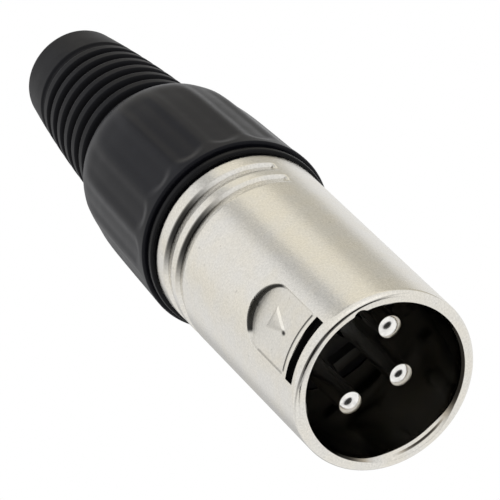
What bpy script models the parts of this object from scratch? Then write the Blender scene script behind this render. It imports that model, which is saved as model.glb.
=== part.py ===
"""Three-pin male XLR cable plug, standing on its mating rim with the cable end up.

Frame: metres, Z is the plug's axis, the rim lies in z = 0 and the boot's end is at the top.
The latch slot faces -Y. Every round piece is turned about Z.
"""

import math

import bmesh
import bpy
from mathutils import Matrix, Vector

MM = 0.001
MERGE = 1e-6
PAST = 1.0 * MM
CLEARANCE = 0.3 * MM
SHARP_ANGLE = math.radians(30)
ROUND_STEPS = 3

# Shell: the cast barrel
SHELL_RADIUS = 9.5 * MM
SHELL_LENGTH = 32.1 * MM
MATING_WALL = 1.35 * MM
MATING_RADIUS = SHELL_RADIUS - MATING_WALL
MATING_DEPTH = 15.2 * MM
CHAMBER_WALL = 0.9 * MM
CHAMBER_RADIUS = SHELL_RADIUS - CHAMBER_WALL
RIM_ROUND = 0.65 * MM
LEAD_IN_WIDTH = 0.2 * MM
LEAD_IN_DEPTH = 1.0 * MM
REAR_CHAMFER = 0.2 * MM
RIM_STEPS = 4
SHELL_SEGMENTS = 72
CUTTER_START = MATING_RADIUS / 2

# Latch slot, and the thumb pocket with its arrow behind it
LATCH_WIDTH_SHARE = 0.701
LATCH_WIDTH = LATCH_WIDTH_SHARE * SHELL_RADIUS
LATCH_SLOT_START = 1.1 * MM
LATCH_SLOT_LENGTH = 1.3 * MM
LATCH_BAR = 0.85 * MM
POCKET_LENGTH = 8.95 * MM
POCKET_DEPTH = 0.75 * MM
POCKET_FLOOR = SHELL_RADIUS - POCKET_DEPTH
POCKET_END_STEPS = 14
ARROW_TIP = 2.65 * MM
ARROW_LENGTH = 3.35 * MM
ARROW_WIDTH = 2.6 * MM
ARROW_HEIGHT = 0.22 * MM
ARROW_TOP_SHARE = 0.55

# Keyway in the mating bore, a turn round from the latch slot
KEYWAY_TURN = math.radians(42)
KEYWAY_RADIUS = 0.8 * MM
KEYWAY_DEPTH = 0.5 * MM
KEYWAY_PLACE = MATING_RADIUS + KEYWAY_DEPTH - KEYWAY_RADIUS
KEYWAY_SEGMENTS = 16

# Saw-tooth grip grooves near the boot
GRIP_FIRST_WALL = 27.25 * MM
GRIP_PITCH = 2.85 * MM
GRIP_COUNT = 2
GRIP_RAMP = 1.7 * MM
GRIP_DEPTH = 0.42 * MM
GRIP_HALF_TURN = math.radians(75)

# Insert: the contact carrier on the shell's inner step
INSERT_LENGTH_SHARE = 0.503
INSERT_LENGTH = INSERT_LENGTH_SHARE * (SHELL_LENGTH - MATING_DEPTH)
INSERT_FLANGE_SHARE = 0.353
INSERT_FLANGE = INSERT_FLANGE_SHARE * INSERT_LENGTH
INSERT_STEP = 1.4 * MM
INSERT_BODY_RADIUS = CHAMBER_RADIUS - INSERT_STEP
INSERT_KEY_LENGTH = 2.8 * MM
INSERT_BLOCK_TURN = math.radians(211)
INSERT_BLOCK_RADIUS = 5.85 * MM
INSERT_BLOCK_SIZE = Vector((1.1, 3.0, 1.3)) * MM
INSERT_SEGMENTS = 48

# Pins: 3 contacts on one circle, with solder cups behind the insert
PIN_RADIUS = 1.15 * MM
PIN_CIRCLE = 4.2 * MM
PIN_TIP_DEPTH = 3.3 * MM
PIN_TURNS = {"pin_1": math.radians(264.4), "pin_2": math.radians(95.6), "pin_3": math.radians(180)}
PIN_COLLAR_RADIUS = 1.7 * MM
PIN_COLLAR_LENGTH = 0.8 * MM
CUP_RADIUS = 1.45 * MM
CUP_BORE_RADIUS = 1.0 * MM
CUP_LENGTH = 5.0 * MM
CUP_BORE_DEPTH = 3.8 * MM
CUP_OPENING = 3.0 * MM
PIN_SEGMENTS = 16
NOSE_STEPS = 5

# Ground contact: a bent strip under the latch side of the insert
STRIP_THICKNESS = 0.4 * MM
STRIP_WIDTH = 2.4 * MM
STRIP_ARM_SHARE = 0.73
STRIP_ARM_LENGTH = STRIP_ARM_SHARE * INSERT_LENGTH
STRIP_LUG_LENGTH = 5.2 * MM
STRIP_LUG_REACH = 3.2 * MM
STRIP_HOLE_RADIUS = 0.6 * MM
STRIP_HOLE_FROM_END = 1.8 * MM
STRIP_HOLE_SEGMENTS = 16
STRIP_GAP = 0.55 * MM
STRIP_OUTER_REACH = CHAMBER_RADIUS - STRIP_GAP

# Chuck: the split collet that grips the cable
CHUCK_RING_GAP = 1.3 * MM
CHUCK_RING_WALL = 1.05 * MM
CHUCK_RING_RADIUS = CHAMBER_RADIUS - CHUCK_RING_GAP
CHUCK_RING_BORE = CHUCK_RING_RADIUS - CHUCK_RING_WALL
CHUCK_RING_LENGTH = 4.7 * MM
CHUCK_NECK_LENGTH = 2.0 * MM
CHUCK_JAW_LENGTH = 14.5 * MM
CHUCK_JAW_STEP = 0.7 * MM
CHUCK_JAW_TAPER = 1.6 * MM
CHUCK_JAW_WALL = 1.5 * MM
CHUCK_JAW_ROOT_RADIUS = CHUCK_RING_RADIUS - CHUCK_JAW_STEP
CHUCK_JAW_TIP_RADIUS = CHUCK_JAW_ROOT_RADIUS - CHUCK_JAW_TAPER
CHUCK_GRIP_RADIUS = CHUCK_JAW_TIP_RADIUS - CHUCK_JAW_WALL
CHUCK_TOOTH = 0.3 * MM
CHUCK_TOOTH_PITCH = 2.0 * MM
CHUCK_TOOTH_COUNT = 3
CHUCK_SLOT = 1.0 * MM
CHUCK_JAWS_COUNT = 4
CHUCK_SEGMENTS = 40

# Boot nut: the hard ring that screws into the shell
NUT_SPIGOT_LENGTH = 4.3 * MM
NUT_SPIGOT_BORE = CHUCK_RING_RADIUS + CLEARANCE
NUT_COLLAR_STEP = 0.4 * MM
NUT_COLLAR_RADIUS = SHELL_RADIUS + NUT_COLLAR_STEP
NUT_COLLAR_LENGTH = 0.9 * MM
NUT_COLLAR_ROUND = 0.25 * MM
NUT_COVER = 1.9 * MM
NUT_BODY_RADIUS = NUT_COLLAR_RADIUS - NUT_COVER
NUT_BODY_LENGTH = 13.7 * MM
NUT_BEAD_HEIGHT = 0.45 * MM
NUT_BEAD_LENGTH = 1.6 * MM
NUT_BEAD_FROM_END = 2.4 * MM
NUT_SEGMENTS = 48

# Boot: the soft cover, with a fluted dome and a ribbed tail
BOOT_FRONT_STEP = 0.4 * MM
BOOT_FRONT_RADIUS = NUT_COLLAR_RADIUS + BOOT_FRONT_STEP
BOOT_FRONT_ROUND = 0.6 * MM
DOME_LENGTH = 19.2 * MM
DOME_TAPER = 0.72 * MM
DOME_CROWN = 1.13 * MM
DOME_CROWN_POWER = 9
DOME_END_RADIUS = BOOT_FRONT_RADIUS - DOME_TAPER - DOME_CROWN
DOME_SHOULDER = 0.8 * MM
DOME_EDGE = 0.24 * MM
DOME_ROWS = 6
DOME_ROW_CROWDING = 1.7
FLUTE_COUNT = 16
FLUTE_DEPTH = 0.3 * MM
FLUTE_START = 1.9 * MM
FLUTE_FADE = 1.0 * MM
FLUTE_REAR_FADE = 3.0 * MM
FLUTE_TURN = math.radians(-9.4)
FLUTE_COLUMNS = 3
FLUTE_REACH = 0.75 * math.pi / FLUTE_COUNT
TAIL_LENGTH = 22.2 * MM
TAIL_STEP = 0.85 * MM
TAIL_TAPER = 2.15 * MM
TAIL_ROOT_RADIUS = DOME_END_RADIUS - TAIL_STEP
TAIL_END_RADIUS = TAIL_ROOT_RADIUS - TAIL_TAPER
TAIL_BULGE = 0.3 * MM
TAIL_ROUND = 0.9 * MM
RIB_FIRST = 2.15 * MM
RIB_PITCH = 2.32 * MM
RIB_GROOVES = 6
RIB_GROOVE_WIDTH = 1.3 * MM
RIB_GROOVE_FLOOR = 0.6 * MM
RIB_GROOVE_DEPTH = 0.65 * MM
LAST_GROOVE_DEPTH = 0.2 * MM
TAIL_ROOT_WALL = 2.3 * MM
TAIL_END_WALL = 1.95 * MM
CABLE_RADIUS_ROOT = TAIL_ROOT_RADIUS - TAIL_ROOT_WALL
CABLE_RADIUS_END = TAIL_END_RADIUS - TAIL_END_WALL

# Heights along Z that follow from the sizes above
INSERT_FRONT = MATING_DEPTH + CLEARANCE
INSERT_REAR = INSERT_FRONT + INSERT_LENGTH
CHUCK_FRONT = INSERT_REAR + CLEARANCE
CHUCK_NECK = CHUCK_FRONT + CHUCK_RING_LENGTH
CHUCK_JAWS = CHUCK_NECK + CHUCK_NECK_LENGTH
CHUCK_END = CHUCK_JAWS + CHUCK_JAW_LENGTH
NUT_COLLAR_FRONT = SHELL_LENGTH + CLEARANCE
NUT_COLLAR_REAR = NUT_COLLAR_FRONT + NUT_COLLAR_LENGTH
NUT_FRONT = SHELL_LENGTH - NUT_SPIGOT_LENGTH
NUT_END = NUT_COLLAR_REAR + NUT_BODY_LENGTH
BOOT_FRONT = NUT_COLLAR_REAR + CLEARANCE
DOME_END = BOOT_FRONT + DOME_LENGTH
BOOT_END = DOME_END + TAIL_LENGTH

LATCH_SIDE = math.radians(-90)


def clear_scene():
    """Remove every object of the open scene."""
    for thing in list(bpy.data.objects):
        bpy.data.objects.remove(thing, do_unlink=True)


def material(name, colour, roughness, metallic=0.0):
    """A plain surface: colour, roughness and metallic value."""
    made = bpy.data.materials.new(name)
    made.use_nodes = True
    surface = made.node_tree.nodes["Principled BSDF"]
    surface.inputs["Base Color"].default_value = (*colour, 1.0)
    surface.inputs["Roughness"].default_value = roughness
    surface.inputs["Metallic"].default_value = metallic
    return made


def add_object(name, shape, surface=None, helper=False):
    """Close a bmesh into a named object, smooth where it is round and sharp at its edges."""
    bmesh.ops.recalc_face_normals(shape, faces=shape.faces)
    mesh = bpy.data.meshes.new(name)
    shape.to_mesh(mesh)
    shape.free()
    mesh.shade_smooth()
    mesh.set_sharp_from_angle(angle=SHARP_ANGLE)
    made = bpy.data.objects.new(name, mesh)
    bpy.context.scene.collection.objects.link(made)
    if surface:
        mesh.materials.append(surface)
    if helper:
        made.hide_render = True
        made.display_type = "WIRE"
    return made


def spun(outline, segments, turn=math.tau, start=0.0):
    """Spin an outline of (radius, height) points about Z, all the way round or for part of a turn."""
    shape = bmesh.new()
    whole = math.isclose(turn, math.tau)
    points = [shape.verts.new((radius, 0.0, height)) for radius, height in outline]
    edges = []
    for first, second in zip(points, points[1:] + points[:1]):
        if first.co.x > 0 or second.co.x > 0:
            edges.append(shape.edges.new((first, second)))
    if not whole:
        shape.faces.new(points)
    bmesh.ops.rotate(shape, verts=points, matrix=Matrix.Rotation(start, 3, "Z"))
    copied = bmesh.ops.spin(
        shape,
        geom=points + edges,
        axis=(0, 0, 1),
        angle=turn,
        steps=segments,
        use_merge=whole,
    )
    if not whole:
        last_edges = [part for part in copied["geom_last"] if isinstance(part, bmesh.types.BMEdge)]
        bmesh.ops.edgeloop_fill(shape, edges=last_edges)
    bmesh.ops.remove_doubles(shape, verts=shape.verts, dist=MERGE)
    return shape


def prism(outline, near, far, top_share=1.0):
    """A prism on the latch side: an outline of (x, z) points, from near to far out along -Y."""
    shape = bmesh.new()
    middle = sum((Vector(point) for point in outline), Vector((0, 0))) / len(outline)
    base = [shape.verts.new((x, -near, z)) for x, z in outline]
    tops = [middle + (Vector(point) - middle) * top_share for point in outline]
    top = [shape.verts.new((point.x, -far, point.y)) for point in tops]
    shape.faces.new(base)
    shape.faces.new(top)
    for index in range(len(outline)):
        after = (index + 1) % len(outline)
        shape.faces.new((base[index], base[after], top[after], top[index]))
    return shape


def block(low, high):
    """A box between 2 corners."""
    shape = bmesh.new()
    low, high = Vector(low), Vector(high)
    size = Matrix.Diagonal(high - low).to_4x4()
    bmesh.ops.create_cube(shape, size=1.0, matrix=Matrix.Translation((low + high) / 2) @ size)
    return shape


def rod(radius, low, high, segments):
    """A round bar along Z, from one height to another."""
    return spun([(0.0, low), (radius, low), (radius, high), (0.0, high)], segments)


def around_axis(radius, turn):
    """A place this far from the plug's axis, a turn round from the latch side."""
    angle = LATCH_SIDE + turn
    return Vector((radius * math.cos(angle), radius * math.sin(angle), 0.0))


def combine(target, other, operation):
    """Cut a helper out of a piece, or join it on."""
    step = target.modifiers.new(other.name, "BOOLEAN")
    step.operation = operation
    step.solver = "EXACT"
    step.object = other


def arc(centre, radius, start, end, steps):
    """Points of an arc in an outline, from one angle to another in degrees."""
    points = []
    for step in range(steps + 1):
        angle = math.radians(start + (end - start) * step / steps)
        points.append((centre[0] + radius * math.cos(angle), centre[1] + radius * math.sin(angle)))
    return points


def latch_outline(start, end, end_radius=0.0):
    """The latch's width from start to end along Z, with a round end if it has a radius."""
    half = LATCH_WIDTH / 2
    if not end_radius:
        return [(-half, start), (half, start), (half, end), (-half, end)]
    round_end = arc((0.0, end - end_radius), half, 0, 180, POCKET_END_STEPS)
    return [(-half, start), (half, start)] + round_end


def make_shell(surface):
    """Barrel: mating bore, rear chamber, latch slot, thumb pocket, keyway and grip grooves."""
    rim_centre = (SHELL_RADIUS - RIM_ROUND, RIM_ROUND)
    outline = arc(rim_centre, RIM_ROUND, -90, 0, RIM_STEPS)
    outline += [
        (SHELL_RADIUS, SHELL_LENGTH - REAR_CHAMFER),
        (SHELL_RADIUS - REAR_CHAMFER, SHELL_LENGTH),
        (CHAMBER_RADIUS, SHELL_LENGTH),
        (CHAMBER_RADIUS, MATING_DEPTH),
        (MATING_RADIUS, MATING_DEPTH),
        (MATING_RADIUS, LEAD_IN_DEPTH),
        (MATING_RADIUS + LEAD_IN_WIDTH, 0.0),
    ]
    shell = add_object("shell", spun(outline, SHELL_SEGMENTS), surface)

    slot_end = LATCH_SLOT_START + LATCH_SLOT_LENGTH
    slot = prism(latch_outline(LATCH_SLOT_START, slot_end), CUTTER_START, SHELL_RADIUS + PAST)
    combine(shell, add_object("latch_slot_cutter", slot, helper=True), "DIFFERENCE")

    pocket_start = slot_end + LATCH_BAR
    pocket_end = pocket_start + POCKET_LENGTH
    pocket = latch_outline(pocket_start, pocket_end, LATCH_WIDTH / 2)
    pocket = prism(pocket, POCKET_FLOOR, SHELL_RADIUS + PAST)
    combine(shell, add_object("pocket_cutter", pocket, helper=True), "DIFFERENCE")

    tip = pocket_start + ARROW_TIP
    triangle = [(0.0, tip), (ARROW_WIDTH / 2, tip + ARROW_LENGTH), (-ARROW_WIDTH / 2, tip + ARROW_LENGTH)]
    root = (MATING_RADIUS + POCKET_FLOOR) / 2
    arrow = prism(triangle, root, POCKET_FLOOR + ARROW_HEIGHT, ARROW_TOP_SHARE)
    combine(shell, add_object("arrow_helper", arrow, helper=True), "UNION")

    keyway = rod(KEYWAY_RADIUS, -PAST, MATING_DEPTH + CLEARANCE, KEYWAY_SEGMENTS)
    keyway = add_object("keyway_cutter", keyway, helper=True)
    keyway.location = around_axis(KEYWAY_PLACE, KEYWAY_TURN)
    combine(shell, keyway, "DIFFERENCE")

    grip_steps = round(2 * GRIP_HALF_TURN / math.tau * SHELL_SEGMENTS)
    for number in range(GRIP_COUNT):
        wall = GRIP_FIRST_WALL + GRIP_PITCH * number
        tooth = [
            (SHELL_RADIUS + GRIP_DEPTH, wall - 2 * GRIP_RAMP),
            (SHELL_RADIUS - GRIP_DEPTH, wall),
            (SHELL_RADIUS + GRIP_DEPTH, wall),
        ]
        groove = spun(tooth, grip_steps, 2 * GRIP_HALF_TURN, LATCH_SIDE - GRIP_HALF_TURN)
        groove = add_object(f"grip_cutter_{number + 1}", groove, helper=True)
        combine(shell, groove, "DIFFERENCE")
    return shell


def make_insert(surface):
    """Contact carrier: flange on the shell's step, 3 pin bores, key, block and the strip's channel."""
    flange_radius = CHAMBER_RADIUS - CLEARANCE
    outline = [
        (0.0, INSERT_FRONT),
        (flange_radius, INSERT_FRONT),
        (flange_radius, INSERT_FRONT + INSERT_FLANGE),
        (INSERT_BODY_RADIUS, INSERT_FRONT + INSERT_FLANGE),
        (INSERT_BODY_RADIUS, INSERT_REAR),
        (0.0, INSERT_REAR),
    ]
    insert = add_object("insert", spun(outline, INSERT_SEGMENTS), surface)

    overlap = INSERT_FLANGE / 2
    key_front = INSERT_FRONT - INSERT_KEY_LENGTH
    key = rod(KEYWAY_RADIUS - CLEARANCE, key_front, INSERT_FRONT + overlap, KEYWAY_SEGMENTS)
    key = add_object("insert_key_helper", key, helper=True)
    key.location = around_axis(KEYWAY_PLACE, KEYWAY_TURN)
    combine(insert, key, "UNION")

    size = INSERT_BLOCK_SIZE
    raised = block(
        (INSERT_BLOCK_RADIUS - size.x / 2, -size.y / 2, INSERT_FRONT - size.z),
        (INSERT_BLOCK_RADIUS + size.x / 2, size.y / 2, INSERT_FRONT + overlap),
    )
    raised = add_object("insert_block_helper", raised, helper=True)
    raised.rotation_euler.z = LATCH_SIDE + INSERT_BLOCK_TURN
    combine(insert, raised, "UNION")

    for name, turn in PIN_TURNS.items():
        bore = rod(PIN_RADIUS + CLEARANCE, INSERT_FRONT - PAST, INSERT_REAR + PAST, PIN_SEGMENTS)
        bore = add_object(f"{name}_bore_cutter", bore, helper=True)
        bore.location = around_axis(PIN_CIRCLE, turn)
        combine(insert, bore, "DIFFERENCE")

    half = STRIP_WIDTH / 2 + CLEARANCE
    channel_floor = INSERT_REAR - STRIP_THICKNESS - 2 * CLEARANCE
    lug_side = STRIP_LUG_REACH - STRIP_THICKNESS - CLEARANCE
    channel = block((-half, -SHELL_RADIUS, channel_floor), (half, -lug_side, INSERT_REAR + PAST))
    combine(insert, add_object("strip_channel_cutter", channel, helper=True), "DIFFERENCE")

    arm_side = STRIP_OUTER_REACH - STRIP_THICKNESS - CLEARANCE
    arm_floor = INSERT_REAR - CLEARANCE - STRIP_ARM_LENGTH - CLEARANCE
    notch = block((-half, -SHELL_RADIUS, arm_floor), (half, -arm_side, INSERT_REAR + PAST))
    combine(insert, add_object("strip_notch_cutter", notch, helper=True), "DIFFERENCE")
    return insert


def make_pin(name, turn, surface):
    """Turned contact: round nose, shaft, collar behind the insert, and a solder cup open outward."""
    nose = arc((0.0, PIN_TIP_DEPTH + PIN_RADIUS), PIN_RADIUS, -90, 0, NOSE_STEPS)
    nose[0] = (0.0, PIN_TIP_DEPTH)
    collar_front = INSERT_REAR + CLEARANCE
    collar_rear = collar_front + PIN_COLLAR_LENGTH
    cup_end = collar_rear + CUP_LENGTH
    outline = nose + [
        (PIN_RADIUS, collar_front),
        (PIN_COLLAR_RADIUS, collar_front),
        (PIN_COLLAR_RADIUS, collar_rear),
        (CUP_RADIUS, collar_rear),
        (CUP_RADIUS, cup_end),
        (CUP_BORE_RADIUS, cup_end),
        (CUP_BORE_RADIUS, cup_end - CUP_BORE_DEPTH),
        (0.0, cup_end - CUP_BORE_DEPTH),
    ]
    pin = add_object(name, spun(outline, PIN_SEGMENTS), surface)
    past_cup = CUP_RADIUS + PAST
    opening = block((0.0, -past_cup, cup_end - CUP_OPENING), (past_cup, past_cup, cup_end + PAST))
    opening = add_object(f"{name}_cup_cutter", opening, helper=True)
    opening.parent = pin
    combine(pin, opening, "DIFFERENCE")
    pin.location = around_axis(PIN_CIRCLE, turn)
    pin.rotation_euler.z = LATCH_SIDE + turn
    return pin


def make_ground_contact(surface):
    """Bent strip: a spring arm beside the shell's wall, a crossing in the insert, and a solder lug."""
    crossing_rear = INSERT_REAR - CLEARANCE
    crossing_front = crossing_rear - STRIP_THICKNESS
    arm_front = crossing_rear - STRIP_ARM_LENGTH
    lug_rear = crossing_rear + STRIP_LUG_LENGTH
    outer = -STRIP_OUTER_REACH
    inner = -STRIP_LUG_REACH
    outline = [
        (outer, arm_front),
        (outer + STRIP_THICKNESS, arm_front),
        (outer + STRIP_THICKNESS, crossing_front),
        (inner + STRIP_THICKNESS, crossing_front),
        (inner + STRIP_THICKNESS, lug_rear),
        (inner, lug_rear),
        (inner, crossing_rear),
        (outer, crossing_rear),
    ]
    shape = bmesh.new()
    side = [shape.verts.new((-STRIP_WIDTH / 2, y, z)) for y, z in outline]
    swept = bmesh.ops.extrude_face_region(shape, geom=[shape.faces.new(side)])
    moved = [part for part in swept["geom"] if isinstance(part, bmesh.types.BMVert)]
    bmesh.ops.translate(shape, verts=moved, vec=(STRIP_WIDTH, 0, 0))
    strip = add_object("ground_contact", shape, surface)

    hole = bmesh.new()
    bmesh.ops.create_cone(
        hole,
        cap_ends=True,
        segments=STRIP_HOLE_SEGMENTS,
        radius1=STRIP_HOLE_RADIUS,
        radius2=STRIP_HOLE_RADIUS,
        depth=STRIP_THICKNESS + PAST,
        matrix=Matrix.Rotation(math.radians(90), 4, "X"),
    )
    hole = add_object("lug_hole_cutter", hole, helper=True)
    hole.location = (0.0, inner + STRIP_THICKNESS / 2, lug_rear - STRIP_HOLE_FROM_END)
    combine(strip, hole, "DIFFERENCE")
    return strip


def chuck_outer(height):
    """The jaws' outer radius at a height: a cone from root to tip."""
    share = (height - CHUCK_JAWS) / CHUCK_JAW_LENGTH
    return CHUCK_JAW_ROOT_RADIUS + (CHUCK_JAW_TIP_RADIUS - CHUCK_JAW_ROOT_RADIUS) * share


def make_chuck(surface):
    """Split collet: a ring behind the insert, and 4 tapered jaws with teeth inside."""
    outline = [
        (CHUCK_RING_BORE, CHUCK_FRONT),
        (CHUCK_RING_RADIUS, CHUCK_FRONT),
        (CHUCK_RING_RADIUS, CHUCK_NECK),
        (CHUCK_JAW_ROOT_RADIUS, CHUCK_JAWS),
        (CHUCK_JAW_TIP_RADIUS, CHUCK_END),
    ]
    for number in range(CHUCK_TOOTH_COUNT):
        crest = CHUCK_END - CHUCK_TOOTH_PITCH * number
        outline.append((CHUCK_GRIP_RADIUS, crest))
        outline.append((CHUCK_GRIP_RADIUS + CHUCK_TOOTH, crest - CHUCK_TOOTH_PITCH / 2))
    outline.append((CHUCK_GRIP_RADIUS, CHUCK_END - CHUCK_TOOTH_PITCH * CHUCK_TOOTH_COUNT))
    outline.append((CHUCK_GRIP_RADIUS, CHUCK_JAWS + CHUCK_NECK_LENGTH))
    outline.append((CHUCK_RING_BORE, CHUCK_NECK))
    chuck = add_object("chuck", spun(outline, CHUCK_SEGMENTS), surface)
    jaw_turn = math.tau / CHUCK_JAWS_COUNT
    for number in range(CHUCK_JAWS_COUNT // 2):
        slot = block(
            (-CHUCK_SLOT / 2, -CHUCK_RING_RADIUS - PAST, CHUCK_JAWS),
            (CHUCK_SLOT / 2, CHUCK_RING_RADIUS + PAST, CHUCK_END + PAST),
        )
        slot = add_object(f"chuck_slot_cutter_{number + 1}", slot, helper=True)
        slot.rotation_euler.z = jaw_turn * (number + 0.5)
        combine(chuck, slot, "DIFFERENCE")
    return chuck


def nut_bead_heights():
    """Where the bead that holds the boot begins and ends."""
    end = NUT_END - NUT_BEAD_FROM_END
    return end - NUT_BEAD_LENGTH, end


def make_boot_nut(surface):
    """Hard ring: threaded spigot in the shell, visible collar, and a body under the soft boot."""
    spigot_radius = CHAMBER_RADIUS - CLEARANCE
    bead_start, bead_end = nut_bead_heights()
    bead_radius = NUT_BODY_RADIUS + NUT_BEAD_HEIGHT
    round_centre = (NUT_COLLAR_RADIUS - NUT_COLLAR_ROUND, NUT_COLLAR_FRONT + NUT_COLLAR_ROUND)
    outline = [
        (NUT_SPIGOT_BORE, NUT_FRONT),
        (spigot_radius, NUT_FRONT),
        (spigot_radius, NUT_COLLAR_FRONT),
        *arc(round_centre, NUT_COLLAR_ROUND, -90, 0, ROUND_STEPS),
        (NUT_COLLAR_RADIUS, NUT_COLLAR_REAR),
        (NUT_BODY_RADIUS, NUT_COLLAR_REAR),
        (NUT_BODY_RADIUS, bead_start),
        (bead_radius, bead_start),
        (NUT_BODY_RADIUS, bead_end),
        (NUT_BODY_RADIUS, NUT_END),
        (chuck_outer(NUT_END) + CLEARANCE, NUT_END),
        (chuck_outer(CHUCK_JAWS) + CLEARANCE, CHUCK_JAWS),
        (NUT_SPIGOT_BORE, CHUCK_NECK),
    ]
    return add_object("boot_nut", spun(outline, NUT_SEGMENTS), surface)


def dome_radius(height):
    """The dome's outer radius over its lands: a plain taper that rounds off towards the rear."""
    share = (height - BOOT_FRONT) / DOME_LENGTH
    return BOOT_FRONT_RADIUS - DOME_TAPER * share - DOME_CROWN * share**DOME_CROWN_POWER


def tail_radius(height):
    """The tail's outer radius over its ribs."""
    share = (height - DOME_END) / TAIL_LENGTH
    straight = TAIL_ROOT_RADIUS - TAIL_TAPER * share
    return straight + 4 * TAIL_BULGE * share * (1 - share)


def boot_outer():
    """The boot's outer outline, from its front edge to its end."""
    front_round = (BOOT_FRONT_RADIUS - BOOT_FRONT_ROUND, BOOT_FRONT + BOOT_FRONT_ROUND)
    outline = arc(front_round, BOOT_FRONT_ROUND, -90, 0, ROUND_STEPS)[:-1]
    flat_start = BOOT_FRONT + BOOT_FRONT_ROUND
    flat_end = DOME_END - DOME_SHOULDER
    for row in range(DOME_ROWS + 1):
        share = 1 - (1 - row / DOME_ROWS) ** DOME_ROW_CROWDING
        height = flat_start + (flat_end - flat_start) * share
        outline.append((dome_radius(height), height))
    outline.append((DOME_END_RADIUS, DOME_END - DOME_EDGE))
    outline.append((TAIL_ROOT_RADIUS, DOME_END))

    for number in range(RIB_GROOVES + 1):
        middle = DOME_END + RIB_FIRST + RIB_PITCH * number
        depth = RIB_GROOVE_DEPTH if number < RIB_GROOVES else LAST_GROOVE_DEPTH
        for offset, sunk in (
            (-RIB_GROOVE_WIDTH / 2, 0.0),
            (-RIB_GROOVE_FLOOR / 2, depth),
            (RIB_GROOVE_FLOOR / 2, depth),
            (RIB_GROOVE_WIDTH / 2, 0.0),
        ):
            outline.append((tail_radius(middle + offset) - sunk, middle + offset))
    round_centre = (TAIL_END_RADIUS - TAIL_ROUND, BOOT_END - TAIL_ROUND)
    outline += arc(round_centre, TAIL_ROUND, 0, 90, ROUND_STEPS)
    return outline


def boot_inner():
    """The boot's inner outline, from its end back to its front: cable hole, bead groove and bore."""
    bead_start, bead_end = nut_bead_heights()
    bore = NUT_BODY_RADIUS + CLEARANCE
    return [
        (CABLE_RADIUS_END, BOOT_END),
        (CABLE_RADIUS_ROOT, DOME_END),
        (CABLE_RADIUS_ROOT, NUT_END + CLEARANCE),
        (bore, NUT_END + CLEARANCE),
        (bore, bead_end + CLEARANCE),
        (bore + NUT_BEAD_HEIGHT, bead_start - CLEARANCE),
        (bore, bead_start - CLEARANCE),
        (bore, BOOT_FRONT),
    ]


def sink_flutes(shape):
    """Lower the dome between its lands, fading in at the front and out at the rear. Each land is one column."""
    start = BOOT_FRONT + FLUTE_START
    end = DOME_END - DOME_SHOULDER
    for point in shape.verts:
        radius = math.hypot(point.co.x, point.co.y)
        on_dome = radius > dome_radius(point.co.z) - DOME_EDGE
        if not on_dome or not start < point.co.z < end:
            continue
        angle = math.atan2(point.co.y, point.co.x) - LATCH_SIDE - FLUTE_TURN
        from_flute = abs(math.remainder(angle, math.tau / FLUTE_COUNT))
        if from_flute > FLUTE_REACH:
            continue
        fade = min(1.0, (point.co.z - start) / FLUTE_FADE, (end - point.co.z) / FLUTE_REAR_FADE)
        scale = (radius - FLUTE_DEPTH * fade) / radius
        point.co.x *= scale
        point.co.y *= scale


def make_boot(surface):
    """Soft boot: fluted dome and ribbed tail, with the cable's hole through it."""
    shape = spun(boot_outer() + boot_inner(), FLUTE_COUNT * FLUTE_COLUMNS)
    first_land = LATCH_SIDE + FLUTE_TURN + math.pi / FLUTE_COUNT
    bmesh.ops.rotate(shape, verts=shape.verts, matrix=Matrix.Rotation(first_land, 3, "Z"))
    sink_flutes(shape)
    return add_object("boot", shape, surface)


def build_plug():
    """Make every piece of the plug in its place."""
    clear_scene()
    nickel = material("pearl_nickel", (0.72, 0.70, 0.66), 0.34, 1.0)
    silver = material("silver", (0.86, 0.85, 0.82), 0.15, 1.0)
    black_insert = material("black_insert", (0.012, 0.012, 0.012), 0.45)
    white_chuck = material("white_chuck", (0.62, 0.60, 0.55), 0.5)
    gloss_black = material("gloss_black", (0.010, 0.010, 0.011), 0.18)
    matte_black = material("matte_black", (0.032, 0.032, 0.035), 0.6)

    make_shell(nickel)
    make_insert(black_insert)
    for name, turn in PIN_TURNS.items():
        make_pin(name, turn, silver)
    make_ground_contact(silver)
    make_chuck(white_chuck)
    make_boot_nut(gloss_black)
    make_boot(matte_black)


build_plug()
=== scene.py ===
"""Looks of the XLR plug: fine meshes and finishes around the packed frame, in a plain studio."""

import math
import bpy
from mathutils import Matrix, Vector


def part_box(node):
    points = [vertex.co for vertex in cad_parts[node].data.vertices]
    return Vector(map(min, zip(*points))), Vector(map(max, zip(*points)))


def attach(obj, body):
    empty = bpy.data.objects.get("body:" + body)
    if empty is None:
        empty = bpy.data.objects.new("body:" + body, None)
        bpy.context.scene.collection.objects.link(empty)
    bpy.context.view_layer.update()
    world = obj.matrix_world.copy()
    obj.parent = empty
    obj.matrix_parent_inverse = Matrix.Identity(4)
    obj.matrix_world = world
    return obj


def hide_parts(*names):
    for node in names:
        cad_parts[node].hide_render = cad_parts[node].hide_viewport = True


bl_info = {
    "name": "XLR Plug Looks",
    "version": (1, 0, 0),
    "blender": (4, 5, 0),
    "location": "View3D > Sidebar > Plug",
    "description": "Dresses the packed XLR plug with fine meshes and finishes, and sets a studio round it",
    "category": "Object",
}

import bmesh
import bpy
import numpy as np
from bpy.props import FloatProperty, FloatVectorProperty, IntProperty, PointerProperty
from mathutils import Vector

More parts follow.
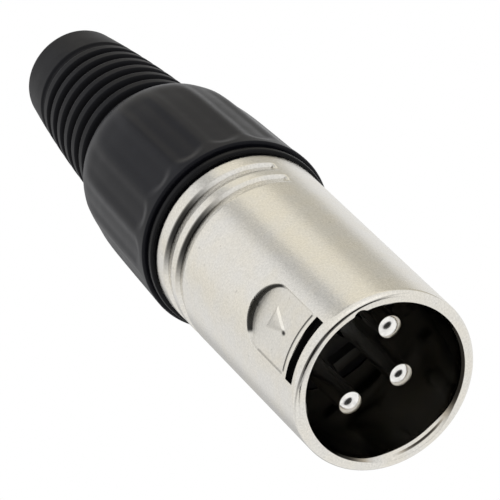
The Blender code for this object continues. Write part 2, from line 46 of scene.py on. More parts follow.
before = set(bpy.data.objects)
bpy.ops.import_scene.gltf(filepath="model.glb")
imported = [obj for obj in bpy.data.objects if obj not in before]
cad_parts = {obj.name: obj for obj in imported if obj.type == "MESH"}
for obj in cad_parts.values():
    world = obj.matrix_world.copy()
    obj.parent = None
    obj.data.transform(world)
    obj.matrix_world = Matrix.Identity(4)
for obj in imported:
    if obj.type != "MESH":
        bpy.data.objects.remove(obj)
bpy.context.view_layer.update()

MM = 0.001
MERGE = 1e-7
LATCH_SIDE = -90.0
SPOT_TURN = math.radians(-66.0)
CLEARANCE = 0.3 * MM
SPIGOT_RADIUS = 8.3 * MM
BEAD_HEIGHT = 0.45 * MM
BEAD_FRONT = 4.0 * MM
BEAD_REAR = 2.4 * MM
CUP_LENGTH = 5.8 * MM


# Property helpers


def millimetres(name, value, about):
    """A length property that is given in millimetres and kept in metres."""
    length = value * MM
    return FloatProperty(name=name, description=about, default=length, min=0.0, unit="LENGTH", precision=5)


def turn(name, value, about):
    """An angle property that is given in degrees and kept in radians."""
    return FloatProperty(name=name, description=about, default=math.radians(value), subtype="ANGLE")


def amount(name, value, about, most=1.0):
    """A plain number property that isn't below 0."""
    return FloatProperty(name=name, description=about, default=value, min=0.0, max=most, precision=3)


def shade(name, value, about):
    """A linear colour property."""
    return FloatVectorProperty(
        name=name, description=about, default=value, min=0.0, max=1.0, size=3, subtype="COLOR"
    )


# Node helpers


class Value:
    """A node socket. Arithmetic on it adds Math nodes to its tree."""

    def __init__(self, socket):
        self.socket = socket

    def maths(self, operation, *values):
        return Nodes(self.socket.id_data).add("ShaderNodeMath", {"operation": operation}, values)

    def __add__(self, other):
        return self.maths("ADD", self, other)

    def __radd__(self, other):
        return self.maths("ADD", other, self)

    def __sub__(self, other):
        return self.maths("SUBTRACT", self, other)

    def __rsub__(self, other):
        return self.maths("SUBTRACT", other, self)

    def __mul__(self, other):
        return self.maths("MULTIPLY", self, other)

    def __rmul__(self, other):
        return self.maths("MULTIPLY", other, self)

    def __truediv__(self, other):
        return self.maths("DIVIDE", self, other)

    def __rtruediv__(self, other):
        return self.maths("DIVIDE", other, self)

    def __abs__(self):
        return self.maths("ABSOLUTE", self)

    def rounded(self):
        return self.maths("ROUND", self)

    def root(self):
        return self.maths("SQRT", self)

    def at_least(self, other):
        return self.maths("MAXIMUM", self, other)

    def at_most(self, other):
        return self.maths("MINIMUM", self, other)

    def angle_from(self, other):
        """The angle of the point (other, self)."""
        return self.maths("ARCTAN2", self, other)

    def ramp(self, start, end, low=0.0, high=1.0):
        """A smooth step from low to high as the value goes from start to end."""
        settings = {"interpolation_type": "SMOOTHSTEP"}
        return Nodes(self.socket.id_data).add("ShaderNodeMapRange", settings, (self, start, end, low, high))


class Nodes:
    """A node tree that is added to one node at a time."""

    def __init__(self, tree):
        self.tree = tree

    def add(self, kind, settings=(), sockets=(), output=0):
        """Add a node: its settings first, then its sockets' values or links, in order or by name."""
        made = self.tree.nodes.new(kind)
        for name, value in dict(settings).items():
            setattr(made, name, value)
        pairs = sockets.items() if isinstance(sockets, dict) else enumerate(sockets)
        for name, value in pairs:
            if isinstance(value, Value):
                self.tree.links.new(value.socket, made.inputs[name])
            elif value is not None:
                made.inputs[name].default_value = value
        return Value(made.outputs[output]) if made.outputs else made

    def parts(self, vector):
        """The X, Y and Z of a vector socket."""
        made = self.tree.nodes.new("ShaderNodeSeparateXYZ")
        self.tree.links.new(vector.socket, made.inputs[0])
        return [Value(socket) for socket in made.outputs]

    def mixed(self, share, first, second):
        """A colour part of the way from first to second."""
        made = self.tree.nodes.new("ShaderNodeMix")
        made.data_type = "RGBA"
        ends = zip(("Factor_Float", "A_Color", "B_Color"), (share, first, second))
        for identifier, value in ends:
            socket = next(one for one in made.inputs if one.identifier == identifier)
            if isinstance(value, Value):
                self.tree.links.new(value.socket, socket)
            elif identifier == "Factor_Float":
                socket.default_value = value
            else:
                socket.default_value = (*value, 1.0)
        return Value(next(one for one in made.outputs if one.identifier == "Result_Color"))


# Mesh helpers


def stepped(start, *spans):
    """Places from start through spans of (end, step)."""
    places = [start]
    for end, step in spans:
        count = max(1, round((end - places[-1]) / step))
        places.extend(np.linspace(places[-1], end, count + 1)[1:])
    return np.array(places)


def smooth(share):
    """A smooth step from 0 to 1."""
    share = np.clip(share, 0.0, 1.0)
    return share * share * (3 - 2 * share)


def lobe(away, width, power=2):
    """A bump that is 1 at 0 and falls off at this width, the more sharply the higher its even power."""
    return np.exp(-((away / width) ** power))


def softened(corners, steps=3):
    """An outline of (radius, height) points whose corners are rounded by their third value."""
    outline = []
    for index, (radius, height, rounding) in enumerate(corners):
        here = Vector((radius, height))
        if not rounding:
            outline.append((radius, height))
            continue
        before = Vector(corners[index - 1][:2]) - here
        after = Vector(corners[(index + 1) % len(corners)][:2]) - here
        reach = min(rounding, 0.45 * before.length, 0.45 * after.length)
        start = here + before.normalized() * reach
        end = here + after.normalized() * reach
        for step in range(steps + 1):
            share = step / steps
            point = start * (1 - share) ** 2 + here * 2 * share * (1 - share) + end * share**2
            outline.append((point.x, point.y))
    return outline


def shaded(mesh, sharp_angle=40.0):
    """Shade a mesh smooth, but sharp at edges above an angle in degrees."""
    mesh.shade_smooth()
    mesh.set_sharp_from_angle(angle=math.radians(sharp_angle))


def put_in_scene(name, mesh, surface):
    """A mesh as a smooth object in the scene, with its finish."""
    shaded(mesh)
    mesh.materials.clear()
    if surface:
        mesh.materials.append(surface)
    made = bpy.data.objects.new(name, mesh)
    bpy.context.scene.collection.objects.link(made)
    return made


def closed_mesh(name, points, faces, marks):
    """A mesh with merged doubles and outward faces. Marks are numbers that its points keep, by name."""
    mesh = bpy.data.meshes.new(name)
    mesh.from_pydata(points, [], faces)
    for mark, values in marks.items():
        attribute = mesh.attributes.new(mark, "FLOAT", "POINT")
        attribute.data.foreach_set("value", values.astype(np.float32).ravel())
    shape = bmesh.new()
    shape.from_mesh(mesh)
    bmesh.ops.remove_doubles(shape, verts=shape.verts, dist=MERGE)
    bmesh.ops.recalc_face_normals(shape, faces=shape.faces)
    shape.to_mesh(mesh)
    shape.free()
    return mesh


def turned_points(outline, turns):
    """Rows of points from turning an outline about Z to each of the turns, which are in degrees."""
    outline = np.array(outline, float)
    angles = np.radians(LATCH_SIDE + np.asarray(turns, float))
    radius, height = outline[:, :1], outline[:, 1:]
    flat = np.zeros_like(angles)[None, :]
    return np.stack([radius * np.cos(angles), radius * np.sin(angles), height + flat], axis=-1)


def wrapped(name, points, **marks):
    """A mesh over rows of points closed round the axis, and round the outline unless it ends on it."""
    rows, columns = points.shape[:2]
    ends_on_axis = np.abs(points[[0, -1], :, :2]).max() < MERGE
    row = np.arange(rows - 1 if ends_on_axis else rows)[:, None]
    column = np.arange(columns)[None, :]
    beside = (column + 1) % columns
    here = row * columns
    below = (row + 1) % rows * columns
    corners = [here + column, here + beside, below + beside, below + column]
    faces = np.stack(corners, axis=-1).reshape(-1, 4)
    return closed_mesh(name, points.reshape(-1, 3).tolist(), faces.tolist(), marks)


def turned(name, outline, columns, surface):
    """A solid turned about Z from its outline."""
    turns = np.arange(columns) * 360.0 / columns
    return put_in_scene(name, wrapped(name, turned_points(outline, turns)), surface)


def box_mesh(name, low, high):
    """A box between 2 corners."""
    shape = bmesh.new()
    bmesh.ops.create_cube(shape, size=1.0)
    for point in shape.verts:
        for axis in range(3):
            point.co[axis] = low[axis] if point.co[axis] < 0 else high[axis]
    mesh = bpy.data.meshes.new(name)
    shape.to_mesh(mesh)
    shape.free()
    return mesh


def settled(piece):
    """Turn a piece's modifiers into plain mesh."""
    graph = bpy.context.evaluated_depsgraph_get()
    graph.update()
    mesh = bpy.data.meshes.new_from_object(piece.evaluated_get(graph), depsgraph=graph)
    piece.modifiers.clear()
    piece.data = mesh
    return piece


def carved(piece, tool_mesh):
    """Cut a mesh out of a piece."""
    tool = put_in_scene("tool", tool_mesh, None)
    step = piece.modifiers.new("carve", "BOOLEAN")
    step.operation = "DIFFERENCE"
    step.solver = "EXACT"
    step.object = tool
    surfaces = list(piece.data.materials)
    settled(piece)
    bpy.data.objects.remove(tool)
    piece.data.materials.clear()
    for surface in surfaces:
        piece.data.materials.append(surface)
    return piece


def refined(node, surface, width):
    """A copy of a CAD node's mesh with its edges rounded."""
    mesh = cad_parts[node].data.copy()
    shape = bmesh.new()
    shape.from_mesh(mesh)
    bmesh.ops.remove_doubles(shape, verts=shape.verts, dist=MERGE * 10)
    bmesh.ops.dissolve_limit(shape, angle_limit=math.radians(1), verts=shape.verts, edges=shape.edges)
    shape.to_mesh(mesh)
    shape.free()
    piece = put_in_scene(f"fine_{node}", mesh, surface)
    bevel = piece.modifiers.new("edges", "BEVEL")
    bevel.width = width
    bevel.segments = 2
    bevel.limit_method = "ANGLE"
    bevel.angle_limit = math.radians(40)
    bevel.harden_normals = False
    bevel.use_clamp_overlap = True
    settled(piece)
    shaded(piece.data)
    return piece


def hand_over(piece, body, slot, *nodes):
    """Let a piece ride on its body and stand for its CAD nodes."""
    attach(piece, body)
    if nodes:
        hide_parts(*nodes)


# Geometry Nodes helpers


def geometry_tree(name, inputs):
    """A Geometry Nodes tree with a geometry input and these inputs of (name, socket type, value)."""
    tree = bpy.data.node_groups.new(name, "GeometryNodeTree")
    tree.interface.new_socket("Geometry", in_out="INPUT", socket_type="NodeSocketGeometry")
    tree.interface.new_socket("Geometry", in_out="OUTPUT", socket_type="NodeSocketGeometry")
    identifiers = {}
    for label, kind, value in inputs:
        socket = tree.interface.new_socket(label, in_out="INPUT", socket_type=kind)
        identifiers[socket.identifier] = value
    source = tree.nodes.new("NodeGroupInput")
    sockets = {socket.name: Value(socket) for socket in source.outputs if socket.name}
    return tree, sockets, identifiers


def close_tree(tree, geometry, surface):
    """End a tree in Realize Instances and Set Material."""
    nodes = Nodes(tree)
    real = nodes.add("GeometryNodeRealizeInstances", (), (geometry,))
    finished = nodes.add("GeometryNodeSetMaterial", (), {"Geometry": real, "Material": surface})
    end = tree.nodes.new("NodeGroupOutput")
    tree.links.new(finished.socket, end.inputs[0])


def run_tree(piece, tree, identifiers):
    """Run a Geometry Nodes tree on a piece and keep the result as plain mesh."""
    step = piece.modifiers.new(tree.name, "NODES")
    step.node_group = tree
    for identifier, value in identifiers.items():
        step[identifier] = value
    return settled(piece)


# Sizes and colours


class PlugShellSizes(bpy.types.PropertyGroup):
    """The cast shell."""

    rim_round: millimetres("Rim round", 0.65, "Round outside the mating rim")
    mating_radius: millimetres("Mating radius", 8.15, "Radius of the mating bore")
    mating_depth: millimetres("Mating depth", 15.2, "Depth of the mating bore")
    chamber_radius: millimetres("Chamber radius", 8.6, "Radius of the rear chamber")
    lead_in_width: millimetres("Lead-in width", 0.24, "How far the lead-in widens the bore")
    lead_in_depth: millimetres("Lead-in depth", 0.3, "Length of the lead-in")
    worn_width: millimetres("Worn width", 0.56, "Width of the lead-in's worn side")
    worn_depth: millimetres("Worn depth", 0.86, "Length of the lead-in's worn side")
    # Painted shade in the bore near its mouth.
    bore_dirt: amount("Bore dirt", 0.15, "How dull the bore is near its mouth")
    latch_half_width: millimetres("Latch half width", 3.33, "Half the width of the latch slot and the pocket")
    slot_start: millimetres("Slot start", 1.1, "Height of the latch slot's front")
    slot_end: millimetres("Slot end", 2.4, "Height of the latch slot's rear")
    slot_lip: millimetres("Slot lip", 0.07, "How far the cast edge falls away at the slot")
    pocket_start: millimetres("Pocket start", 3.25, "Height of the pocket's front wall")
    pocket_round: millimetres("Pocket round", 8.75, "Height where the pocket's round end begins")
    pocket_end: millimetres("Pocket end", 12.2, "Height of the pocket's round end")
    pocket_floor: millimetres("Pocket floor", 8.75, "Distance of the pocket's flat floor from the axis")
    bar_round: millimetres("Bar round", 0.12, "Round of the bar's edge at the pocket")
    arrow_tip: millimetres("Arrow tip", 5.85, "Height of the arrow's tip")
    arrow_base: millimetres("Arrow base", 9.2, "Height of the arrow's base")
    arrow_half_width: millimetres("Arrow half width", 1.3, "Half the width of the arrow's base")
    arrow_height: millimetres("Arrow height", 0.09, "How far the arrow stands off the floor")
    arrow_slope: millimetres("Arrow slope", 0.36, "Width of the arrow's sloping sides")
    arrow_lean: turn("Arrow lean", 5.0, "How far the cast arrow leans, seen from outside")
    keyway_turn: turn("Keyway turn", 42.0, "Angle of the keyway from the latch slot")
    keyway_radius: millimetres("Keyway radius", 0.86, "Radius of the keyway's round section")
    keyway_place: millimetres("Keyway place", 7.85, "Distance of the keyway's middle from the axis")
    grip_wall: millimetres("Grip wall", 27.25, "Height of the first grip groove's steep wall")
    grip_pitch: millimetres("Grip pitch", 2.85, "Distance between the grip grooves")
    grip_ramp: millimetres("Grip ramp", 1.7, "Length of a grip groove's ramp")
    grip_depth: millimetres("Grip depth", 0.42, "Depth of a grip groove")
    grip_half_turn: turn("Grip half turn", 75.0, "How far round the grip grooves reach each way")
    grip_count: IntProperty(name="Grip grooves", description="Number of grip grooves", default=2, min=0)
    edge_softness: millimetres("Edge softness", 0.09, "Half the width of a cast edge")


class PlugBootSizes(bpy.types.PropertyGroup):
    """The soft boot."""

    front: millimetres("Front", 33.6, "Height of the boot's front edge")
    front_radius: millimetres("Front radius", 10.3, "Radius of the boot's front edge")
    front_round: millimetres("Front round", 0.3, "Round of the boot's front edge")
    dome_end: millimetres("Dome end", 52.8, "Height where the dome ends")
    dome_taper: millimetres("Dome taper", 0.72, "How far the dome narrows evenly")
    dome_crown: millimetres("Dome crown", 1.13, "How far the dome rounds in towards its rear")
    dome_power: IntProperty(name="Dome power", description="How late the dome rounds in", default=9, min=2)
    dome_edge: millimetres("Dome edge", 0.24, "Length of the dome's rear edge")
    tail_radius: millimetres("Tail radius", 7.6, "Radius of the tail's root")
    tail_end_radius: millimetres("Tail end radius", 5.45, "Radius of the tail's end")
    tail_bulge: millimetres("Tail bulge", 0.3, "How far the tail bulges at its middle")
    tail_round: millimetres("Tail round", 0.9, "Round of the tail's end")
    cable_root: millimetres("Cable root radius", 5.3, "Radius of the cable's way at the tail's root")
    cable_end: millimetres("Cable end radius", 3.5, "Radius of the cable's way at the tail's end")
    flute_count: IntProperty(name="Flutes", description="Number of flutes round the dome", default=16, min=1)
    flute_depth: millimetres("Flute depth", 0.2, "Depth of a flute")
    flute_front: millimetres("Flute front", 34.9, "Height where the flutes begin")
    flute_edge: millimetres("Flute edge", 0.6, "Half the width of a flute's soft edge")
    flute_half_turn: turn("Flute half turn", 7.5, "Half the angle that a flute spans")
    flute_turn: turn("Flute turn", -9.4, "Angle of the first flute from the latch slot")
    flute_rear: millimetres("Flute rear", 52.0, "Height where the flutes have run out")
    flute_fade: millimetres("Flute fade", 4.0, "Length over which the flutes run out")
    rib_first: millimetres("First groove", 54.95, "Height of the first groove between ribs")
    rib_pitch: millimetres("Rib pitch", 2.32, "Distance between the grooves")
    rib_width: millimetres("Groove width", 1.45, "Width of a groove at its top")
    rib_floor: millimetres("Groove floor", 0.35, "Width of a groove's floor")
    rib_depth: millimetres("Groove depth", 0.65, "Depth of a groove")
    rib_last_depth: millimetres("Last groove depth", 0.2, "Depth of the shallow last groove")
    rib_count: IntProperty(name="Grooves", description="Number of deep grooves", default=6, min=1)


class PlugInnerSizes(bpy.types.PropertyGroup):
    """The nut, the contacts and the thread."""

    collar_radius: millimetres("Collar radius", 9.9, "Radius of the nut's glossy collar")
    collar_round: millimetres("Collar round", 0.3, "Round of the collar's front edge")
    pin_radius: millimetres("Pin radius", 1.2, "Radius of a pin")
    pin_circle: millimetres("Pin circle", 4.2, "Distance of a pin from the plug's axis")
    pin_tip: millimetres("Pin tip", 3.75, "Height of a pin's tip")
    pin_crown: millimetres("Pin crown", 2.2, "Radius of the shallow dome on a pin's nose")
    pin_shoulder: millimetres("Pin shoulder", 0.1, "Round between a pin's nose and its side")
    thread_pitch: millimetres("Thread pitch", 1.5, "Pitch of the boot's screw thread")
    thread_height: millimetres("Thread height", 0.2, "How far a thread's ridge stands off")
    edge: millimetres("Edge round", 0.12, "Round of the moulded inner pieces' edges")
    strip_edge: millimetres("Strip edge", 0.05, "Round of the ground contact's edges")


class PlugFinishes(bpy.types.PropertyGroup):
    """The finishes."""

    nickel: shade("Nickel", (0.74, 0.72, 0.675), "Satin nickel of the shell")
    nickel_roughness: amount("Nickel roughness", 0.22, "Roughness of the outside of the shell")
    bore_roughness: amount("Bore roughness", 0.12, "Roughness of the smooth mating bore")
    silver: shade("Silver", (0.87, 0.86, 0.83), "Plating of the contacts")
    insert: shade("Insert", (0.011, 0.011, 0.011), "Black moulding of the insert")
    chuck: shade("Chuck", (0.66, 0.64, 0.58), "Off-white moulding of the chuck")
    nut: shade("Nut", (0.004, 0.004, 0.0048), "Glossy black of the nut")
    boot: shade("Boot", (0.0066, 0.0068, 0.0098), "Charcoal of the boot")
    grain: millimetres("Grain", 0.22, "Size of the shell's sandy grain")


class PlugStudio(bpy.types.PropertyGroup):
    """The camera, the lamps and the background."""

    lens: FloatProperty(name="Lens", description="Focal length in millimetres", default=360.13, min=1.0)
    background: amount("Background", 1.0, "Brightness of the background", 2.0)
    fill: amount("Fill", 0.55, "Brightness of the soft light from all round", 2.0)
    key_power: amount("Key power", 2.2, "Power of the large lamp in watts", 100.0)
    side_power: amount("Side power", 1.1, "Power of the smaller lamp in watts", 100.0)
    warm: shade("Warm light", (1.0, 0.965, 0.87), "Colour of the light between the warm panels")


def sizes(context, name):
    """One of the scene's property groups."""
    return getattr(context.scene, name)


# Finishes


def new_finish(name):
    """A material with its Principled BSDF, its nodes and the object's coordinates."""
    made = bpy.data.materials.new(name)
    made.use_nodes = True
    nodes = Nodes(made.node_tree)
    surface = made.node_tree.nodes["Principled BSDF"]
    place = nodes.add("ShaderNodeTexCoord", (), (), "Object")
    return made, nodes, surface, place


def link(nodes, value, surface, name):
    """Link a value to a socket of the surface."""
    nodes.tree.links.new(value.socket, surface.inputs[name])


def grain(nodes, place, size, detail=2.0, roughness=0.5):
    """Noise from 0 to 1 whose features have about this size in metres."""
    sockets = {"Vector": place, "Scale": 1.0 / size, "Detail": detail, "Roughness": roughness}
    return nodes.add("ShaderNodeTexNoise", (), sockets, "Fac")


def bumped(nodes, surface, height, distance, strength=1.0):
    """Feed a height into the surface's normal."""
    sockets = {"Strength": strength, "Distance": distance, "Height": height}
    link(nodes, nodes.add("ShaderNodeBump", (), sockets), surface, "Normal")


def nickel_finish(context):
    """Satin nickel on a cast shell: sandy grain, cloudy plating, a few pits, a smoother bore, and painted
    light and shade, with the latch slot's walls painted dark.
    """
    colours = sizes(context, "plug_finishes")
    shell = sizes(context, "plug_shell")
    made, nodes, surface, place = new_finish("satin_nickel")
    x, y, z = nodes.parts(place)
    radius = (x * x + y * y).root()
    inside = radius.ramp(shell.mating_radius + 0.45 * MM, shell.mating_radius + 0.2 * MM)
    # Painted shade: the latch slot's walls are painted almost black.
    middle = (shell.slot_start + shell.slot_end) / 2
    half = (shell.slot_end - shell.slot_start) / 2
    along = abs(z - middle).ramp(half + 0.05 * MM, half + 0.02 * MM)
    across = abs(x).ramp(shell.latch_half_width + 0.06 * MM, shell.latch_half_width + 0.03 * MM)
    sunk = (0 - y).ramp(9.40 * MM, 9.28 * MM) * (0 - y).ramp(6.0 * MM, 6.5 * MM)
    in_slot = along * across * sunk
    # Painted light and shade carried by the shell's mesh: above 0 it darkens the nickel as painted shade,
    # below 0 it lightens it as a painted highlight.
    dirt = nodes.add("ShaderNodeAttribute", {"attribute_name": "dirt"}, (), "Fac")
    sandy = grain(nodes, place, colours.grain, 3.0, 0.6)
    cloudy = grain(nodes, place, 14 * colours.grain, 2.0)
    pits = grain(nodes, place, 3.2 * colours.grain, 1.0).ramp(0.74, 0.82)
    tone = (0.72 + 0.46 * sandy + 0.08 * cloudy - 0.16 * pits) * (1 - 0.995 * in_slot) * (1 - dirt)
    base = tuple(colours.nickel)
    warm = (base[0], base[1] * 0.985, base[2] * 0.95)
    brown = (base[0], base[1] * 0.92, base[2] * 0.8)
    tinted = nodes.mixed(cloudy.ramp(0.35, 0.65), base, warm)
    # Where the bore carries painted shade, it is also painted browner.
    tinted = nodes.mixed(inside * dirt.ramp(0.1, 0.5), tinted, brown)
    scaled = nodes.add("ShaderNodeVectorMath", {"operation": "SCALE"}, {"Vector": tinted, "Scale": tone})
    link(nodes, scaled, surface, "Base Color")
    outer_roughness = colours.nickel_roughness - 0.05 + 0.1 * sandy + 0.06 * cloudy
    roughness = outer_roughness + (colours.bore_roughness - outer_roughness) * inside
    rim = z.ramp(0.8 * MM, 0.55 * MM) * (1 - inside)
    on_floor = (0 - y).ramp(9.0 * MM, 8.85 * MM) * (0 - y).ramp(8.5 * MM, 8.65 * MM)
    before_end = z.ramp(shell.pocket_end, shell.pocket_end - 0.2 * MM)
    on_floor = on_floor * abs(x).ramp(3.4 * MM, 3.2 * MM) * before_end
    link(nodes, roughness + 0.3 * in_slot - 0.1 * rim + 0.24 * on_floor, surface, "Roughness")
    surface.inputs["Metallic"].default_value = 1.0
    bumped(nodes, surface, sandy * (1 - 0.8 * inside) * (1 - 0.6 * rim) - 0.6 * pits, 0.02 * MM, 0.5)
    return made


def silver_finish(context):
    """Polished contact plating with faint turning marks."""
    colours = sizes(context, "plug_finishes")
    made, nodes, surface, place = new_finish("contact_silver")
    _, _, z = nodes.parts(place)
    mottle = grain(nodes, place, 0.7 * MM, 2.0)
    ring_pitch = 0.11 * MM
    winding = z * (math.tau / ring_pitch)
    rings = winding.maths("SINE", winding)
    darker = tuple(level * 0.86 for level in colours.silver)
    link(nodes, nodes.mixed(mottle.ramp(0.35, 0.75), tuple(colours.silver), darker), surface, "Base Color")
    link(nodes, 0.09 + 0.1 * mottle, surface, "Roughness")
    surface.inputs["Metallic"].default_value = 1.0
    bumped(nodes, surface, rings, 0.001 * MM, 0.4)
    return made


def moulded_finish(name, colour, roughness, size, depth, spread=0.25):
    """Moulded plastic: mottled colour, uneven gloss and a fine skin of this grain size and depth."""
    made, nodes, surface, place = new_finish(name)
    skin = grain(nodes, place, size, 3.0, 0.55)
    cloud = grain(nodes, place, 12 * size, 2.0)
    light = tuple(min(1.0, level * (1 + spread)) for level in colour)
    dark = tuple(level * (1 - spread) for level in colour)
    link(nodes, nodes.mixed(0.5 * skin + 0.5 * cloud, dark, light), surface, "Base Color")
    link(nodes, roughness - 0.08 + 0.1 * cloud + 0.06 * skin, surface, "Roughness")
    bumped(nodes, surface, skin, depth, 0.6)
    return made, nodes, surface, place


def boot_finish(context):
    """Soft charcoal moulding: a fine matte skin, painted shade in the grooves and over the tail, and worn
    paler at random on its crests.
    """
    colours = sizes(context, "plug_finishes")
    boot = sizes(context, "plug_boot")
    base = tuple(colours.boot)
    made, nodes, surface, place = moulded_finish("boot_charcoal", base, 0.33, 0.13 * MM, 0.012 * MM, 0.12)
    sunk = nodes.add("ShaderNodeAttribute", {"attribute_name": "sunk"}, (), "Fac")
    # Painted shade: the tail is darkened towards black.
    tail = nodes.parts(place)[2].ramp(boot.dome_end + 0.5 * MM, boot.dome_end + 1.5 * MM)
    rubbed_and_highlight = grain(nodes, place, 1.6 * MM, 3.0, 0.6).ramp(0.5, 0.75)
    mottled = Value(surface.inputs["Base Color"].links[0].from_socket)
    paler = nodes.mixed(rubbed_and_highlight * (1 - sunk) * 0.5, mottled, tuple(level * 1.5 for level in base))
    # Painted shade in the tail's grooves.
    deeper = nodes.mixed(sunk * 0.9, paler, tuple(level * 0.15 for level in base))
    darker = nodes.mixed(tail * 0.4, deeper, (0.0, 0.0, 0.0))
    link(nodes, darker, surface, "Base Color")
    gloss = Value(surface.inputs["Roughness"].links[0].from_socket)
    link(nodes, gloss + 0.4 * sunk + 0.14 * tail, surface, "Roughness")
    surface.inputs["Specular IOR Level"].default_value = 0.1
    return made


# Shell


def shell_outer(turns, heights, shell, radius):
    """The barrel's outer radius over turns from the latch, in degrees, and heights, with the painted light
    and shade on it.
    """
    soft = shell.edge_softness
    angle = np.radians(turns)[None, :]
    height = heights[:, None]
    across = radius * np.sin(angle) * np.where(np.cos(angle) > 0, 1, 1e3)
    half = shell.latch_half_width

    round_length = shell.pocket_end - shell.pocket_round
    behind = np.maximum(height - shell.pocket_round, 0.0) * half / round_length
    inside = np.minimum(half - np.hypot(across, behind), height - shell.pocket_start)
    floor = shell.pocket_floor / np.maximum(np.cos(angle), 0.5)
    depth = np.maximum(radius - floor, 0.0)
    outer = radius - depth * smooth((inside + soft) / (2 * soft))
    round_share = np.clip((height - shell.pocket_start + shell.bar_round) / shell.bar_round, 0.0, 1.0)
    on_bar = (height < shell.pocket_start + soft) * smooth((half - np.abs(across)) / (2 * soft))
    outer = np.minimum(outer, radius - on_bar * 0.6 * shell.bar_round * (1 - np.sqrt(1 - round_share**2)))

    length = shell.arrow_base - shell.arrow_tip
    slant = math.cos(math.atan(shell.arrow_half_width / length))
    middle = (shell.arrow_base + shell.arrow_tip) / 2
    cosine, sine = math.cos(shell.arrow_lean), math.sin(shell.arrow_lean)
    beside = across * cosine - (height - middle) * sine
    behind_tip = across * sine + (height - middle) * cosine + length / 2
    side = (behind_tip * shell.arrow_half_width / length - np.abs(beside)) * slant
    arrow = np.minimum(side, length - behind_tip)
    outer = outer + shell.arrow_height * np.clip(arrow / shell.arrow_slope, 0.0, 1.0)

    along = np.maximum(shell.slot_start - height, height - shell.slot_end)
    outside = np.maximum(np.abs(across) - half, along)
    outer = outer - shell.slot_lip * (1 - smooth(outside / (1.5 * soft)))

    reach = (math.degrees(shell.grip_half_turn) - np.abs(turns)[None, :]) / 1.5
    # Painted shade on the pocket's round end wall, a painted shade line along its left side, and a painted
    # shadow line along its front edge.
    end_turn = np.degrees(np.arctan2(across, height - shell.pocket_round))
    at_end = smooth((end_turn + 53) / 8) * smooth((88 - end_turn) / 20) * (height > shell.pocket_round)
    on_wall = smooth((inside + 0.11 * MM) / (0.05 * MM)) * smooth((0.16 * MM - inside) / (0.07 * MM))
    at_left = (across < 0) * (height < shell.pocket_round)
    left_line = lobe(inside - 0.05 * MM, 0.06 * MM) * at_left
    dirt = np.maximum(0.95 * on_wall * at_end, 0.4 * left_line)
    front_line = lobe(height - shell.pocket_start + 0.21 * MM, 0.19 * MM, 4)
    dirt = np.maximum(dirt, 0.85 * front_line * smooth((3.15 * MM - np.abs(across - 0.15 * MM)) / (0.2 * MM)))
    # Painted shade over the arrow's top, deeper towards its left, a painted highlight on its right slope, a
    # little painted shade on its other slopes, and a painted dark spot at its tip.
    on_top = np.clip(arrow / shell.arrow_slope, 0.0, 1.0)
    on_slope = smooth((0.2 * MM - np.abs(arrow - 0.14 * MM)) / (0.06 * MM)) * (arrow == side)
    left_share = smooth(0.5 - beside / (0.9 * MM))
    dirt = dirt + (0.03 + 0.15 * left_share) * on_top + on_slope * np.where(beside > 0, -0.3, 0.08)
    tip = np.hypot((beside + 0.14 * MM) / (0.24 * MM), (behind_tip - 0.3 * MM) / (0.34 * MM))
    dirt = dirt + (0.95 - dirt) * lobe(tip, 1.0, 4)

    for number in range(shell.grip_count):
        wall = shell.grip_wall + shell.grip_pitch * number
        ramp = np.clip((height - wall + shell.grip_ramp) / shell.grip_ramp, 0.0, 1.0)
        groove = ramp * (1 - smooth((height - wall + soft) / (1.6 * soft)))
        outer = outer - shell.grip_depth * groove * smooth(reach)
        # Painted shade on each groove's steep wall and a lighter painted shade down its ramp, strongest
        # beside the latch line.
        under = lobe(turns[None, :] - 1, 28, 4)
        foot = lobe(height - wall + 0.12 * MM, 0.3 * MM, 6)
        dirt = dirt + (0.96 - dirt) * under * foot + 0.3 * under * (height < wall) * ramp**3 * (1 - foot)
    return outer, dirt


def rim_dirt(turns, tilts):
    """A painted dark reflection band on the rim's round below the latch, and a painted highlight beside it,
    by tilt.
    """
    turns, tilts = turns[None, :], tilts[:, None]
    middle = 9 + 0.0125 * (turns - 26) ** 2
    half = 6.5 + 10 * lobe(turns - 8, 24)
    strength = 0.85 * lobe(turns - 16, 44, 4)
    line = smooth((half + 3 - np.abs(tilts - middle)) / 6)
    # Painted highlight on the round beside the dark band.
    rubbed_and_highlight = lobe(turns - 48, 20) * lobe(tilts - 38, 14)
    return strength * line - 0.25 * rubbed_and_highlight * (1 - line)


def away_from(turns, middle):
    """How far turns are from a middle, the short way round, in degrees."""
    return (turns - middle + 180) % 360 - 180


def lead_in_points(turns, shell):
    """Rows of points down the lead-in, a slope that is worn broad on one side, and their painted shade."""
    share = np.concatenate([[1.0], np.linspace(1.0, 0.04, 18), [0.0, 0.0]])[:, None]
    worn = lobe(away_from(turns, -142), 30, 4)[None, :]
    width = shell.lead_in_width + (shell.worn_width - shell.lead_in_width) * worn
    depth = shell.lead_in_depth + (shell.worn_depth - shell.lead_in_depth) * worn
    radius = shell.mating_radius + width * (1 - share)
    height = depth * share
    height[0] += 0.05 * MM
    radius[-1] += 0.03 * MM
    angle = np.radians(LATCH_SIDE + turns)[None, :]
    points = np.stack([radius * np.cos(angle), radius * np.sin(angle), height], axis=-1)
    # Painted shade all round the lead-in but on its worn side, and a painted dark reflection line across the
    # worn side's slope.
    unshaded_side = lobe(away_from(turns, -138), 36, 6)[None, :]
    line = lobe(away_from(turns, -150), 18, 4)[None, :] * smooth((0.16 - np.abs(share - 0.5)) / 0.06)
    dirt = np.maximum(0.97 * (1 - unshaded_side), 0.95 * line)
    return points, dirt * (share > 0)


def bore_dirt(points, shell):
    """Painted shade in the bore, lighter near its mouth and deeper further in."""
    near = np.hypot(points[..., 0], points[..., 1])
    in_bore = (near < shell.mating_radius + 0.05 * MM) * (points[..., 2] < shell.mating_depth + 0.1 * MM)
    deep = smooth((points[..., 2] / MM - 3.5) / 3.0)
    return in_bore * (shell.bore_dirt + (0.6 - shell.bore_dirt) * deep)


